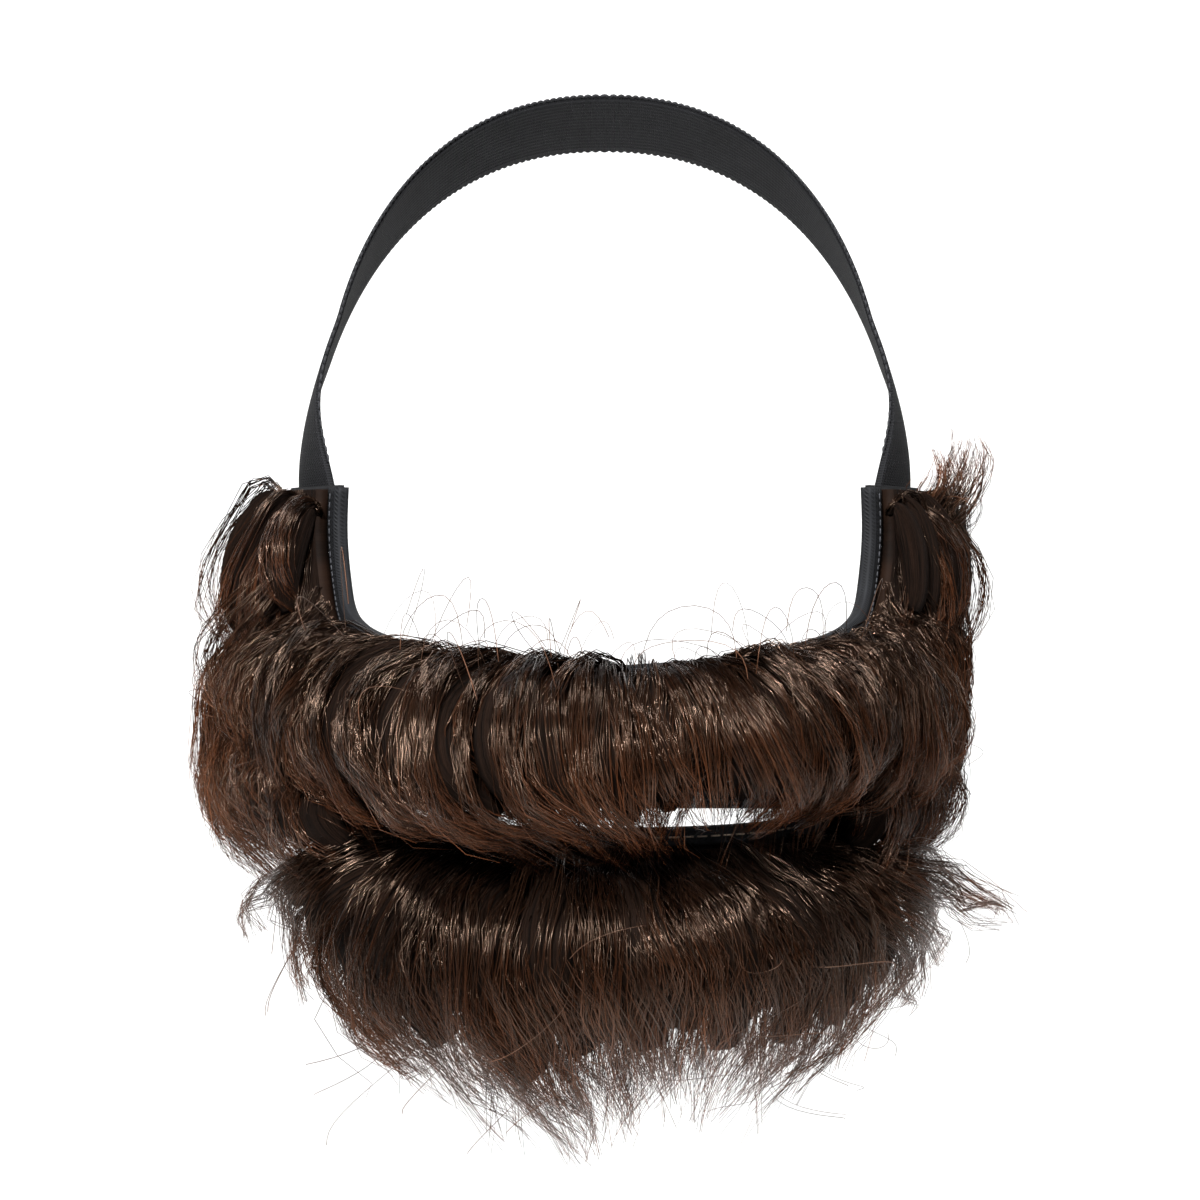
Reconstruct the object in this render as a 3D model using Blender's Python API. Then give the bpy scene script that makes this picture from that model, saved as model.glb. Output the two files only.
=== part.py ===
"""A costume beard: hair in thick locks on a curved cloth backing, with a bound mouth slit and a head strap.

Metres, +Z up, the wearer faces -Y. The origin is on the wearer's upper lip, in the middle of the top edge
of the backing's inner face. Places on the face are given in shell coordinates: an angle round the face
in degrees (0 at the nose, positive to +X), a rise along Z, and a height off the skin.
"""

import math

import bmesh
import bpy
import numpy as np

# Driving sizes of the face that the beard is cut to fit.
FACE_HALF_WIDTH = 0.072
FACE_DEPTH = 0.100
CHIN_DROP = 0.068
EAR_FLARE = 0.010
EAR_FLARE_START = 68.0
EAR_FLARE_SPAN = 26.0

# Cloth and tape. The gap is the room that touching pieces keep.
BACKING_WALL = 0.0015
TAPE_WALL = 0.0008
TAPE_WIDTH = 0.0045
BINDING_WIDTH = 0.0035
GAP = 0.0005

# Mouth slit.
MOUTH_DROP = 0.0365
MOUTH_HEIGHT = 0.0076
MOUTH_HALF_ANGLE = 57.0

# Elastic head strap.
STRAP_WIDTH = 0.025
STRAP_WALL = 0.0013
STRAP_OVERLAP = 0.018
STRAP_REACH = 0.120
STRAP_TILT = 60.0
STRAP_ANGLE = 84.0
STRAP_LEAN = 15.0
STRAP_FULLNESS = 0.9
STRAP_SETTLES = 0.045

# Patches of the backing that the pieces of hair cover.
MOUSTACHE_HALF_ANGLE = 50.0
CHIN_HALF_ANGLE = 56.0
CHEEK_START_ANGLE = 54.0
CHEEK_BOTTOM_ANGLE = 71.0

# Hair. A fullness is how far the locks stand off the backing, a length how far they hang, and a loft
# how far they first rise.
HAIR_BED = 0.0040
CORE_SHARE = 0.80
LOCK_WIDTH = 0.018
LOCK_THICKNESS = 0.013
MOUSTACHE_FULLNESS = 0.013
MOUSTACHE_LENGTH = 0.031
MOUSTACHE_LOFT = 0.009
CHIN_FULLNESS = 0.018
CHIN_LENGTH = 0.066
CHIN_LOFT = 0.001
CHIN_HANG = 0.020
LEFT_CHEEK_FULLNESS = 0.030
RIGHT_CHEEK_FULLNESS = 0.015
CHEEK_LENGTH = 0.100

# How finely the shapes are divided.
BACKING_COLUMNS = 32
BACKING_ROWS = 8
BINDING_RINGS = 42
TAPE_RINGS = 38
STRAP_RINGS = 36
SEWN_RINGS = 3
LOCK_RINGS = 8
LOCK_SIDES = 8

# Sections of the lower face. Heights are shares of CHIN_DROP, half widths of FACE_HALF_WIDTH,
# the depths of the front and of the widest place of FACE_DEPTH, and the flare of EAR_FLARE.
FACE_SECTIONS = [
    # height, half_width, front, widest, flare
    (-1.95, 0.50, 0.300, 0.72, 0.0),
    (-1.55, 0.60, 0.200, 0.77, 0.0),
    (-1.18, 0.68, 0.100, 0.80, 0.0),
    (-0.91, 0.75, 0.050, 0.83, 0.0),
    (-0.66, 0.86, 0.025, 0.89, 0.1),
    (-0.37, 0.945, -0.025, 0.95, 0.3),
    (0.00, 1.00, 0.000, 1.00, 0.7),
    (0.37, 1.01, 0.000, 1.04, 1.0),
    (0.80, 1.00, 0.000, 1.06, 1.2),
]

# The backing's outline from the middle of the lip to the top of a sideburn. Angles are degrees round
# the face, and rises are shares of CHIN_DROP. The front edge runs along the cheek, the back edge along
# the jaw.
BACKING_OUTLINE = [
    # along, front_angle, front_rise, back_angle, back_rise
    (0.00, 0.0, 0.000, 0.0, -1.10),
    (0.20, 22.0, 0.030, 25.0, -1.05),
    (0.40, 43.0, 0.085, 49.0, -0.94),
    (0.55, 58.0, 0.150, 68.0, -0.78),
    (0.70, 66.0, 0.240, 83.0, -0.55),
    (0.82, 69.5, 0.390, 93.0, -0.25),
    (0.92, 71.0, 0.550, 98.0, 0.15),
    (1.00, 71.0, 0.710, 100.0, 0.71),
]
SIDEBURN_RISE = BACKING_OUTLINE[-1][2] * CHIN_DROP

# Each lock is one row. Side and up are shares of the patch that the piece of hair covers. Side runs from
# the picture's left (-1) to its right (1) on the lip and chin, and on a cheek from the front (0) to the
# back (1). Up runs from the patch's bottom to its top. Swing is the turn from root to tip and bow the
# sideways curve at mid length, both in degrees, positive to the picture's right on the lip and chin and
# towards the back on a cheek. Drop is a share of the piece's hair length, lift a share of its fullness,
# crest the share of the way where the lock stands furthest off, tuck the share of the lift that is left
# at the tip, and width a share of LOCK_WIDTH.
MOUSTACHE_LOCKS = [
    # side, up, swing, drop, bow, lift, crest, tuck, width
    (-0.86, 0.90, -1.0, 0.86, -2.0, 0.60, 0.50, 0.30, 0.95),
    (-0.70, 0.92, -1.0, 0.98, -4.0, 0.85, 0.50, 0.30, 1.00),
    (-0.54, 0.92, 0.0, 1.04, -6.5, 1.00, 0.50, 0.30, 1.05),
    (-0.37, 0.92, 2.0, 1.06, -7.5, 1.05, 0.55, 0.30, 1.05),
    (-0.20, 0.92, 4.0, 1.08, -7.5, 1.05, 0.55, 0.30, 1.05),
    (-0.03, 0.92, 5.5, 1.08, -6.0, 1.05, 0.55, 0.30, 1.05),
    (0.13, 0.92, 4.5, 1.08, -4.0, 0.95, 0.55, 0.30, 0.95),
    (0.27, 0.92, 4.0, 1.05, -0.5, 1.05, 0.55, 0.35, 1.05),
    (0.42, 0.92, 4.0, 1.03, 0.5, 1.05, 0.55, 0.35, 1.05),
    (0.58, 0.90, 1.5, 1.02, 1.0, 0.95, 0.50, 0.35, 1.00),
    (0.74, 0.90, 1.5, 0.96, 1.0, 0.85, 0.50, 0.30, 1.00),
    (0.88, 0.88, 0.0, 0.86, 1.0, 0.60, 0.50, 0.30, 0.95),
]
CHIN_LOCKS = [
    # side, up, swing, drop, bow, lift, crest, tuck, width
    (-0.88, 0.85, -24.0, 0.28, -2.0, 1.00, 0.55, 1.10, 0.90),
    (-0.80, 0.80, -20.0, 0.54, -3.0, 1.00, 0.50, 0.80, 1.10),
    (-0.72, 0.10, -22.0, 0.60, -5.0, 0.55, 0.40, 0.50, 0.85),
    (-0.62, 0.85, -10.0, 0.76, -6.0, 1.05, 0.45, 0.55, 1.20),
    (-0.46, 0.85, -2.0, 0.90, -8.0, 1.10, 0.45, 0.50, 1.30),
    (-0.28, 0.85, 9.0, 1.06, -8.0, 1.10, 0.45, 0.45, 1.30),
    (-0.09, 0.85, 5.0, 0.92, -6.0, 1.10, 0.45, 0.50, 1.30),
    (0.10, 0.85, 5.0, 0.90, -2.0, 1.10, 0.45, 0.50, 1.30),
    (0.29, 0.85, 8.0, 0.92, 0.0, 1.10, 0.45, 0.50, 1.30),
    (0.48, 0.85, 11.0, 0.92, 2.0, 1.10, 0.45, 0.55, 1.30),
    (0.65, 0.85, 16.0, 0.86, 2.0, 1.05, 0.50, 0.65, 1.25),
    (0.79, 0.80, 19.0, 0.66, 2.0, 1.05, 0.50, 0.90, 1.20),
    (0.88, 0.85, 24.0, 0.30, 0.0, 1.10, 0.60, 1.30, 0.95),
]
LEFT_CHEEK_LOCKS = [
    # side, up, swing, drop, bow, lift, crest, tuck, width
    (0.22, 0.55, 1.0, 0.46, 2.0, 0.42, 0.70, 0.70, 1.10),
    (0.24, 0.66, 5.0, 0.68, 3.0, 0.66, 0.75, 0.70, 1.25),
    (0.30, 0.80, 8.0, 0.87, 4.0, 0.88, 0.82, 0.85, 1.35),
    (0.42, 0.94, 9.0, 1.01, 4.0, 1.00, 0.88, 0.85, 1.40),
    (0.62, 0.94, 6.0, 0.97, 2.0, 0.90, 0.85, 0.80, 1.30),
    (0.85, 0.92, 2.0, 0.84, 1.0, 0.55, 0.75, 0.70, 1.20),
    (0.65, 0.45, 4.0, 0.45, 1.0, 0.70, 0.70, 0.60, 1.30),
]
RIGHT_CHEEK_LOCKS = [
    # side, up, swing, drop, bow, lift, crest, tuck, width
    (0.22, 0.55, 1.0, 0.46, 2.0, 0.55, 0.70, 1.00, 1.10),
    (0.24, 0.66, 5.0, 0.68, 2.0, 0.85, 0.75, 1.10, 1.20),
    (0.30, 0.80, 7.0, 0.85, 2.0, 1.00, 0.85, 1.70, 1.25),
    (0.42, 0.94, 9.0, 1.00, 2.0, 1.00, 0.90, 1.40, 1.30),
    (0.62, 0.94, 6.0, 0.92, 1.0, 0.90, 0.90, 1.00, 1.20),
    (0.85, 0.92, 2.0, 0.84, 1.0, 0.50, 0.80, 0.80, 1.15),
    (0.65, 0.45, 4.0, 0.45, 1.0, 0.70, 0.70, 0.80, 1.20),
    (0.72, 0.86, -2.0, -0.22, 0.0, 0.12, 0.60, 2.00, 0.80),
]

CLOTH_BLACK = (0.012, 0.012, 0.014, 1.0)
TAPE_BLACK = (0.010, 0.011, 0.015, 1.0)
HAIR_BROWN = (0.035, 0.020, 0.013, 1.0)


def clear_scene():
    for obj in list(bpy.data.objects):
        bpy.data.objects.remove(obj, do_unlink=True)


def material(name, colour, roughness):
    made = bpy.data.materials.new(name)
    made.use_nodes = True
    shader = made.node_tree.nodes["Principled BSDF"]
    shader.inputs["Base Color"].default_value = colour
    shader.inputs["Roughness"].default_value = roughness
    shader.inputs["Metallic"].default_value = 0.0
    made.diffuse_color = colour
    return made


def ease(share):
    share = min(max(share, 0.0), 1.0)
    return share * share * (3 - 2 * share)


def swell(share, crest):
    """A smooth rise from 0 to 1 at the crest and back to 0."""
    return ease(share / crest) if share < crest else ease((1 - share) / (1 - crest))


def smooth_curve(places, values, at):
    """A smooth curve through the values at rising places, read at any place."""
    x, y = np.array(places, float), np.array(values, float)
    slopes = np.gradient(y, x)
    at = min(max(at, x[0]), x[-1])
    i = min(int(np.searchsorted(x, at, side="right")) - 1, len(x) - 2)
    step = x[i + 1] - x[i]
    t = (at - x[i]) / step
    return float(
        y[i] * (1 + 2 * t) * (1 - t) ** 2
        + slopes[i] * step * t * (1 - t) ** 2
        + y[i + 1] * t * t * (3 - 2 * t)
        + slopes[i + 1] * step * t * t * (t - 1)
    )


def read_table(rows, key, value, at):
    """The value column of a table where its key column is at this place."""
    return smooth_curve([row[key] for row in rows], [row[value] for row in rows], at)


def skin(angle, rise):
    """The point of the face form at an angle and a rise."""
    half_width, front, widest, flare = (
        read_table(FACE_SECTIONS, 0, column, rise / CHIN_DROP) for column in (1, 2, 3, 4)
    )
    turn = math.radians(angle)
    spread = EAR_FLARE * flare * ease((abs(angle) - EAR_FLARE_START) / EAR_FLARE_SPAN)
    x = FACE_HALF_WIDTH * half_width * math.sin(turn) + math.copysign(spread, angle)
    y = FACE_DEPTH * (widest - (widest - front) * math.cos(turn))
    return np.array([x, y, rise])


def shell(angle, rise, height):
    """The point at a height off the face form, measured level and square to the form's section."""
    half_degree = 0.5
    along = skin(angle + half_degree, rise) - skin(angle - half_degree, rise)
    outward = np.array([along[1], -along[0], 0.0])
    return skin(angle, rise) + outward * height / np.linalg.norm(outward)


def degrees_for(length, angle, rise):
    """How many degrees round the face cover this length at this place."""
    return length / np.linalg.norm(skin(angle + 0.5, rise) - skin(angle - 0.5, rise))


def outline_at(along):
    """The backing's front angle and rise and back angle and rise. Along is negative on the left."""
    front, front_rise, back, back_rise = (
        read_table(BACKING_OUTLINE, 0, column, abs(along)) for column in (1, 2, 3, 4)
    )
    side = -1.0 if along < 0 else 1.0
    return side * front, front_rise * CHIN_DROP, side * back, back_rise * CHIN_DROP


def top_rise(angle):
    """The rise of the backing's top edge over the lip and cheek at an angle."""
    return CHIN_DROP * read_table(BACKING_OUTLINE[:6], 1, 2, abs(angle))


def lower_rise(angle):
    """The rise of the backing's lower edge at an angle."""
    return CHIN_DROP * read_table(BACKING_OUTLINE, 3, 4, abs(angle))


def back_edge(rise):
    """The angle of the jaw's and the sideburn's back edge at a rise."""
    return read_table(BACKING_OUTLINE, 4, 3, rise / CHIN_DROP)


def mouth_half_height(angle):
    """Half the slit's height: full over the lips and closing to a point at each end."""
    share = min(abs(angle) / MOUTH_HALF_ANGLE, 1.0)
    return MOUTH_HEIGHT / 2 * math.sqrt(1 - share**2.4)


def new_object(name, builder, slot):
    """An object from a finished bmesh, smooth but for its sharp edges."""
    bmesh.ops.recalc_face_normals(builder, faces=builder.faces)
    mesh = bpy.data.meshes.new(name)
    builder.to_mesh(mesh)
    builder.free()
    mesh.shade_smooth()
    mesh.set_sharp_from_angle(angle=math.radians(50))
    mesh.materials.append(slot)
    obj = bpy.data.objects.new(name, mesh)
    bpy.context.scene.collection.objects.link(obj)
    return obj


def loft(name, rings, slot, closed=False, tip=None):
    """A solid through rings of points: a closed loop, or ended by flat caps or by a tip point."""
    builder = bmesh.new()
    loops = [[builder.verts.new(point) for point in ring] for ring in rings]
    count = len(loops[0])
    pairs = list(zip(loops, loops[1:]))
    if closed:
        pairs.append((loops[-1], loops[0]))
    for near, far in pairs:
        for i in range(count):
            j = (i + 1) % count
            builder.faces.new((near[i], near[j], far[j], far[i]))
    if not closed:
        builder.faces.new(loops[0])
    if tip is not None:
        point = builder.verts.new(tip)
        for i in range(count):
            builder.faces.new((loops[-1][i], loops[-1][(i + 1) % count], point))
    elif not closed:
        builder.faces.new(loops[-1])
    return new_object(name, builder, slot)


def slab(name, grid, slot):
    """A solid over a grid of places, each one an angle, a rise and the heights of its two faces."""
    rows, columns = len(grid), len(grid[0])
    builder = bmesh.new()
    low = [[builder.verts.new(shell(place[0], place[1], place[2])) for place in row] for row in grid]
    high = [[builder.verts.new(shell(place[0], place[1], place[3])) for place in row] for row in grid]
    for i in range(rows - 1):
        for j in range(columns - 1):
            builder.faces.new((high[i][j], high[i][j + 1], high[i + 1][j + 1], high[i + 1][j]))
            builder.faces.new((low[i][j], low[i + 1][j], low[i + 1][j + 1], low[i][j + 1]))
    rim = [(0, j) for j in range(columns)]
    rim += [(i, columns - 1) for i in range(1, rows)]
    rim += [(rows - 1, j) for j in range(columns - 2, -1, -1)]
    rim += [(i, 0) for i in range(rows - 2, 0, -1)]
    for (a, b), (c, d) in zip(rim, rim[1:] + rim[:1]):
        builder.faces.new((low[a][b], low[c][d], high[c][d], high[a][b]))
    return new_object(name, builder, slot)


def combine(obj, others, operation, solver):
    """Joins the others to the object, or cuts them from it, with one Boolean."""
    helpers = bpy.data.collections.new(obj.name + "_helpers")
    bpy.context.scene.collection.children.link(helpers)
    for other in others:
        bpy.context.scene.collection.objects.unlink(other)
        helpers.objects.link(other)
        other.hide_render = True
        other.display_type = "WIRE"
    joined = obj.modifiers.new(operation.lower(), "BOOLEAN")
    joined.operation = operation
    joined.operand_type = "COLLECTION"
    joined.collection = helpers
    joined.solver = solver
    return obj


def slit_place(turn):
    """The angle and rise of the slit's edge at a turn round its outline, in nearly even steps."""
    even = 2 * abs((turn / math.pi) % 2 - 1) - 1
    angle = MOUTH_HALF_ANGLE * (0.7 * even + 0.3 * math.cos(turn))
    return angle, math.copysign(mouth_half_height(angle), math.sin(turn)) - MOUTH_DROP


def build_backing(slot):
    """The cloth base from sideburn to sideburn, with the mouth slit cut through it."""
    grid = []
    for j in range(BACKING_COLUMNS + 1):
        front, front_rise, back, back_rise = outline_at(2 * j / BACKING_COLUMNS - 1)
        column = []
        for i in range(BACKING_ROWS + 1):
            down = i / BACKING_ROWS
            angle = front + (back - front) * down
            rise = front_rise + (back_rise - front_rise) * down
            column.append((angle, rise, 0.0, BACKING_WALL))
        grid.append(column)
    backing = slab("backing", grid, slot)
    reach = 4 * BACKING_WALL
    corners = ((-1, -reach), (1, -reach), (1, reach), (-1, reach))
    rings = []
    for k in range(BINDING_RINGS // 2 + 1):
        angle = slit_place(2 * math.pi * k / BINDING_RINGS)[0]
        half = max(mouth_half_height(angle), MOUTH_HEIGHT / 20)
        rings.append([shell(angle, side * half - MOUTH_DROP, height) for side, height in corners])
    return combine(backing, [loft("mouth_cutter", rings, slot)], "DIFFERENCE", "EXACT")


def tape_profile(width):
    """The U of a tape folded over a cloth edge, as (distance into the cloth, height off the skin)."""
    inside = -GAP
    outside = BACKING_WALL + GAP
    return [
        (width, inside),
        (width, inside - TAPE_WALL),
        (-GAP - TAPE_WALL, inside - TAPE_WALL),
        (-GAP - TAPE_WALL, outside + TAPE_WALL),
        (width, outside + TAPE_WALL),
        (width, outside),
        (-GAP, outside),
        (-GAP, inside),
    ]


def way_into_cloth(place, ahead, behind):
    """Degrees and rise for a metre into the cloth, which lies to the right of the way ahead."""
    degrees_a_metre = degrees_for(1.0, *place)
    run = (ahead[0] - behind[0]) / degrees_a_metre
    climb = ahead[1] - behind[1]
    length = math.hypot(run, climb)
    return climb / length * degrees_a_metre, -run / length


def tape_ring(place, ahead, behind, width):
    """One section of a tape at a place of a cloth edge."""
    turn, climb = way_into_cloth(place, ahead, behind)
    return [
        shell(place[0] + turn * into, place[1] + climb * into, height)
        for into, height in tape_profile(width)
    ]


def build_mouth_binding(slot):
    """The black tape bound round the mouth slit."""
    step = 2 * math.pi / BINDING_RINGS
    rings = []
    for k in range(BINDING_RINGS):
        turn = k * step
        ahead, behind = slit_place(turn + step / 2), slit_place(turn - step / 2)
        rings.append(tape_ring(slit_place(turn), ahead, behind, BINDING_WIDTH))
    return loft("mouth_binding", rings, slot, closed=True)


def edge_place(along):
    """A place of the backing's front edge with the places just ahead of and behind it."""
    step = 0.004
    return [outline_at(along + shift)[:2] for shift in (0, step, -step)]


def build_edge_tape(slot):
    """The tape folded over the backing's top edge, from one sideburn along the lip to the other."""
    end = 0.996
    rings = []
    for k in range(TAPE_RINGS + 1):
        rings.append(tape_ring(*edge_place(end * (2 * k / TAPE_RINGS - 1)), TAPE_WIDTH))
    return loft("edge_tape", rings, slot)


def tape_inner_edge():
    """The rises and angles of the line on the right cheek where the edge tape's flap ends."""
    places = []
    for k in range(21):
        place, ahead, behind = edge_place(0.3 + 0.69 * k / 20)
        turn, climb = way_into_cloth(place, ahead, behind)
        clear = TAPE_WIDTH + 3 * GAP
        places.append((place[1] + climb * clear, place[0] + turn * clear))
    return [place[0] for place in places], [place[1] for place in places]


def strap_on_backing(side, run, across, height):
    """A point of the strap's straight stretch. The run starts at the top edge of the sideburn."""
    tilt = math.radians(STRAP_TILT)
    rise = SIDEBURN_RISE + run * math.sin(tilt) - across * math.cos(tilt)
    back = run * math.cos(tilt) + across * math.sin(tilt)
    angle = STRAP_ANGLE + degrees_for(back, STRAP_ANGLE, SIDEBURN_RISE)
    return shell(side * angle, rise, height)


def strap_over_head(share, across, height):
    """A point of the strap's arch over the crown, from the left end at 0 to the right end at 1."""
    tilt = math.radians(STRAP_TILT)
    up_and_back = np.array([0.0, math.cos(tilt), math.sin(tilt)])
    square_to_arch = np.array([0.0, math.sin(tilt), -math.cos(tilt)])
    turn = math.pi * share
    end = skin(STRAP_ANGLE, SIDEBURN_RISE)
    wide = math.copysign(abs(math.cos(turn)) ** STRAP_FULLNESS, math.cos(turn))
    high = math.sin(turn) ** STRAP_FULLNESS
    middle = np.array([-end[0] * wide, end[1], end[2]]) + up_and_back * STRAP_REACH * high
    out = np.array([-math.cos(turn) / end[0], 0.0, 0.0])
    out = out + up_and_back * math.sin(turn) / STRAP_REACH
    out /= np.linalg.norm(out)
    lean = math.radians(STRAP_LEAN) * (1 - math.sin(turn))
    width_way = square_to_arch * math.cos(lean) + out * math.sin(lean)
    face_way = out * math.cos(lean) - square_to_arch * math.sin(lean)
    return middle + width_way * across + face_way * height


def build_strap(slot):
    """The elastic strap: sewn inside the top of each sideburn, then over the crown of the head."""
    edges = [STRAP_WIDTH * share for share in (-0.5, -0.17, 0.17, 0.5)]
    section = [(across, -GAP) for across in edges]
    section += [(across, -GAP - STRAP_WALL) for across in reversed(edges)]
    sewn = [STRAP_OVERLAP * (k / SEWN_RINGS - 1) for k in range(SEWN_RINGS)]
    rings = [[strap_on_backing(-1, run, *place) for place in section] for run in sewn]
    for k in range(STRAP_RINGS + 1):
        share = k / STRAP_RINGS
        side = -1 if share < 0.5 else 1
        run = min(share, 1 - share) * math.pi * STRAP_REACH
        free = ease(run / STRAP_SETTLES)
        ring = []
        for place in section:
            straight = strap_on_backing(side, run, *place)
            ring.append(straight * (1 - free) + strap_over_head(share, *place) * free)
        rings.append(ring)
    rings += [[strap_on_backing(1, run, *place) for place in section] for run in reversed(sewn)]
    return loft("strap", rings, slot)


def moustache_place(side, up):
    """A place of the lip's patch: from the mouth binding up to the edge tape."""
    angle = side * MOUSTACHE_HALF_ANGLE
    bottom = mouth_half_height(angle) + BINDING_WIDTH + 2 * GAP - MOUTH_DROP
    top = top_rise(angle) - TAPE_WIDTH - 2 * GAP
    return angle, bottom + (top - bottom) * up


def chin_place(side, up):
    """A place of the chin's patch: from the backing's lower edge up to the mouth binding."""
    angle = side * CHIN_HALF_ANGLE
    bottom = lower_rise(angle)
    top = -mouth_half_height(angle) - BINDING_WIDTH - 2 * GAP - MOUTH_DROP
    return angle, bottom + (top - bottom) * up


TAPE_INNER_EDGE = tape_inner_edge()


def right_cheek_place(side, up):
    """A place of the picture's right cheek: from beside the lip back to the ear, and up the sideburn."""
    bottom = lower_rise(CHEEK_BOTTOM_ANGLE)
    rise = bottom + (SIDEBURN_RISE - 2 * GAP - bottom) * up
    mouth_end = MOUTH_HALF_ANGLE + degrees_for(BINDING_WIDTH + 5 * GAP, MOUTH_HALF_ANGLE, rise)
    over_mouth = (rise + MOUTH_DROP - MOUTH_HEIGHT / 2) / BINDING_WIDTH - 1
    front = mouth_end + (CHEEK_START_ANGLE - mouth_end) * ease(over_mouth)
    front = max(front, float(np.interp(rise, *TAPE_INNER_EDGE)))
    back = back_edge(rise) - degrees_for(GAP, back_edge(rise), rise)
    return front + (back - front) * side, rise


def left_cheek_place(side, up):
    """A place of the picture's left cheek."""
    angle, rise = right_cheek_place(side, up)
    return -angle, rise


def core_height(across, down, crest, fullness):
    """How thick the mass of hair under the locks is. Across and down are shares of the patch."""
    middle = 1 - (2 * across - 1) ** 4
    return HAIR_BED + CORE_SHARE * (fullness + LOCK_THICKNESS / 2) * middle * swell(down, crest)


def build_core(name, place, first_side, fullness, crest, hang, columns, rows, slot):
    """The mass of hair on a patch. Where it hangs below the backing it keeps to the front of it."""
    near = BACKING_WALL + 1.5 * GAP
    grid = []
    for j in range(columns + 1):
        side = first_side + (1 - first_side) * j / columns
        edge_rise = place(side, 0.0)[1]
        top_of_patch = place(side, 1.0)[1]
        column = []
        for i in range(rows + 1):
            down = i / rows
            rise = top_of_patch - (top_of_patch - edge_rise + hang) * down
            angle = place(side, max((rise - edge_rise) / (top_of_patch - edge_rise), 0.0))[0]
            off = max(skin(0.0, rise)[1] - skin(0.0, edge_rise)[1], 0.0) if rise < edge_rise else 0.0
            thick = core_height(j / columns, down, crest, fullness)
            column.append((angle, rise, near + off, near + off + thick))
        grid.append(column)
    return slab(name, grid, slot)


def lock_half_width(row, share):
    """Half a lock's width: slim at the root, full in the middle and nearly a point at the tip."""
    full_at = 0.65
    if share < full_at:
        taper = 0.45 + 0.55 * math.sin(math.pi / 2 * share / full_at)
    else:
        taper = 1 - 0.86 * ((share - full_at) / (1 - full_at)) ** 1.8
    return LOCK_WIDTH / 2 * row[8] * taper


def lock_half_thickness(row, share):
    """Half a lock's thickness: as the width, but flatter over the root."""
    flat = 0.35 + 0.65 * ease(share / row[6])
    return lock_half_width(row, share) / row[8] * flat * LOCK_THICKNESS / LOCK_WIDTH


def lock_path(row, place, way, fullness, length, loft_rise, share):
    """The middle line of a lock at a share of its length."""
    side, up, swing, drop, bow, lift, crest, tuck, _ = row
    root_angle, root_rise = place(side, up)
    angle = root_angle + way * (swing * ease(share) + bow * math.sin(math.pi * share))
    rise = root_rise - drop * length * share**1.25
    rise += loft_rise * math.sin(math.pi * min(share / crest, 1.0))
    if share < crest:
        puff = ease(share / crest)
    else:
        puff = tuck + (1 - tuck) * ease((1 - share) / (1 - crest))
    floor = BACKING_WALL + TAPE_WALL + 2.5 * GAP + lock_half_thickness(row, share)
    return shell(angle, rise, floor + puff * lift * fullness)


def build_lock(name, row, path, slot):
    """One lock: oval rings along its path, tapering to the tip."""
    rings = []
    across = None
    for k in range(LOCK_RINGS):
        share = k / LOCK_RINGS
        centre = path(share)
        ahead = path(share + 0.02) - centre
        ahead /= np.linalg.norm(ahead)
        if across is None:
            across = np.cross([0.0, 0.0, 1.0], centre * [1.0, 1.0, 0.0] - [0.0, FACE_DEPTH, 0.0])
        across = across - ahead * (across @ ahead)
        across /= np.linalg.norm(across)
        out = np.cross(ahead, across)
        half_width, half_thickness = lock_half_width(row, share), lock_half_thickness(row, share)
        ring = []
        for i in range(LOCK_SIDES):
            turn = 2 * math.pi * i / LOCK_SIDES
            sideways = across * half_width * math.cos(turn)
            ring.append(centre + sideways + out * half_thickness * math.sin(turn))
        rings.append(ring)
    return loft(name, rings, slot, tip=path(1.0))


def build_hair(core, locks, place, way, fullness, length, loft_rise, slot):
    """A piece of hair: its core with the locks joined to it."""
    made = []
    for k, row in enumerate(locks):
        def path(share, row=row):
            return lock_path(row, place, way, fullness, length, loft_rise, share)
        made.append(build_lock(f"{core.name}_lock_{k + 1}", row, path, slot))
    return combine(core, made, "UNION", "MANIFOLD")


def build_moustache(slot):
    """The hair on the lip, which hangs over the slit."""
    core = build_core(
        "moustache_hair", moustache_place, -1.0, MOUSTACHE_FULLNESS, 0.7, 0.0, 16, 5, slot
    )
    build_hair(
        core, MOUSTACHE_LOCKS, moustache_place, 1, MOUSTACHE_FULLNESS, MOUSTACHE_LENGTH,
        MOUSTACHE_LOFT, slot,
    )


def build_chin(slot):
    """The hair under the slit, which hangs below the backing."""
    core = build_core("chin_hair", chin_place, -1.0, CHIN_FULLNESS, 0.5, CHIN_HANG, 16, 6, slot)
    build_hair(core, CHIN_LOCKS, chin_place, 1, CHIN_FULLNESS, CHIN_LENGTH, CHIN_LOFT, slot)


def build_cheek(name, place, way, locks, fullness, slot):
    """The hair of one cheek and sideburn."""
    core = build_core(name, place, 0.0, fullness, 0.85, 0.0, 9, 8, slot)
    build_hair(core, locks, place, way, fullness, CHEEK_LENGTH, 0.0, slot)


def main():
    clear_scene()
    cloth = material("backing_cloth", CLOTH_BLACK, 0.9)
    tape = material("binding_tape", TAPE_BLACK, 0.8)
    elastic = material("elastic", CLOTH_BLACK, 0.85)
    hair = material("hair", HAIR_BROWN, 0.45)
    build_backing(cloth)
    build_mouth_binding(tape)
    build_edge_tape(tape)
    build_strap(elastic)
    build_moustache(hair)
    build_chin(hair)
    build_cheek("cheek_hair_left", left_cheek_place, -1, LEFT_CHEEK_LOCKS, LEFT_CHEEK_FULLNESS, hair)
    build_cheek(
        "cheek_hair_right", right_cheek_place, 1, RIGHT_CHEEK_LOCKS, RIGHT_CHEEK_FULLNESS, hair
    )


main()
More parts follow.
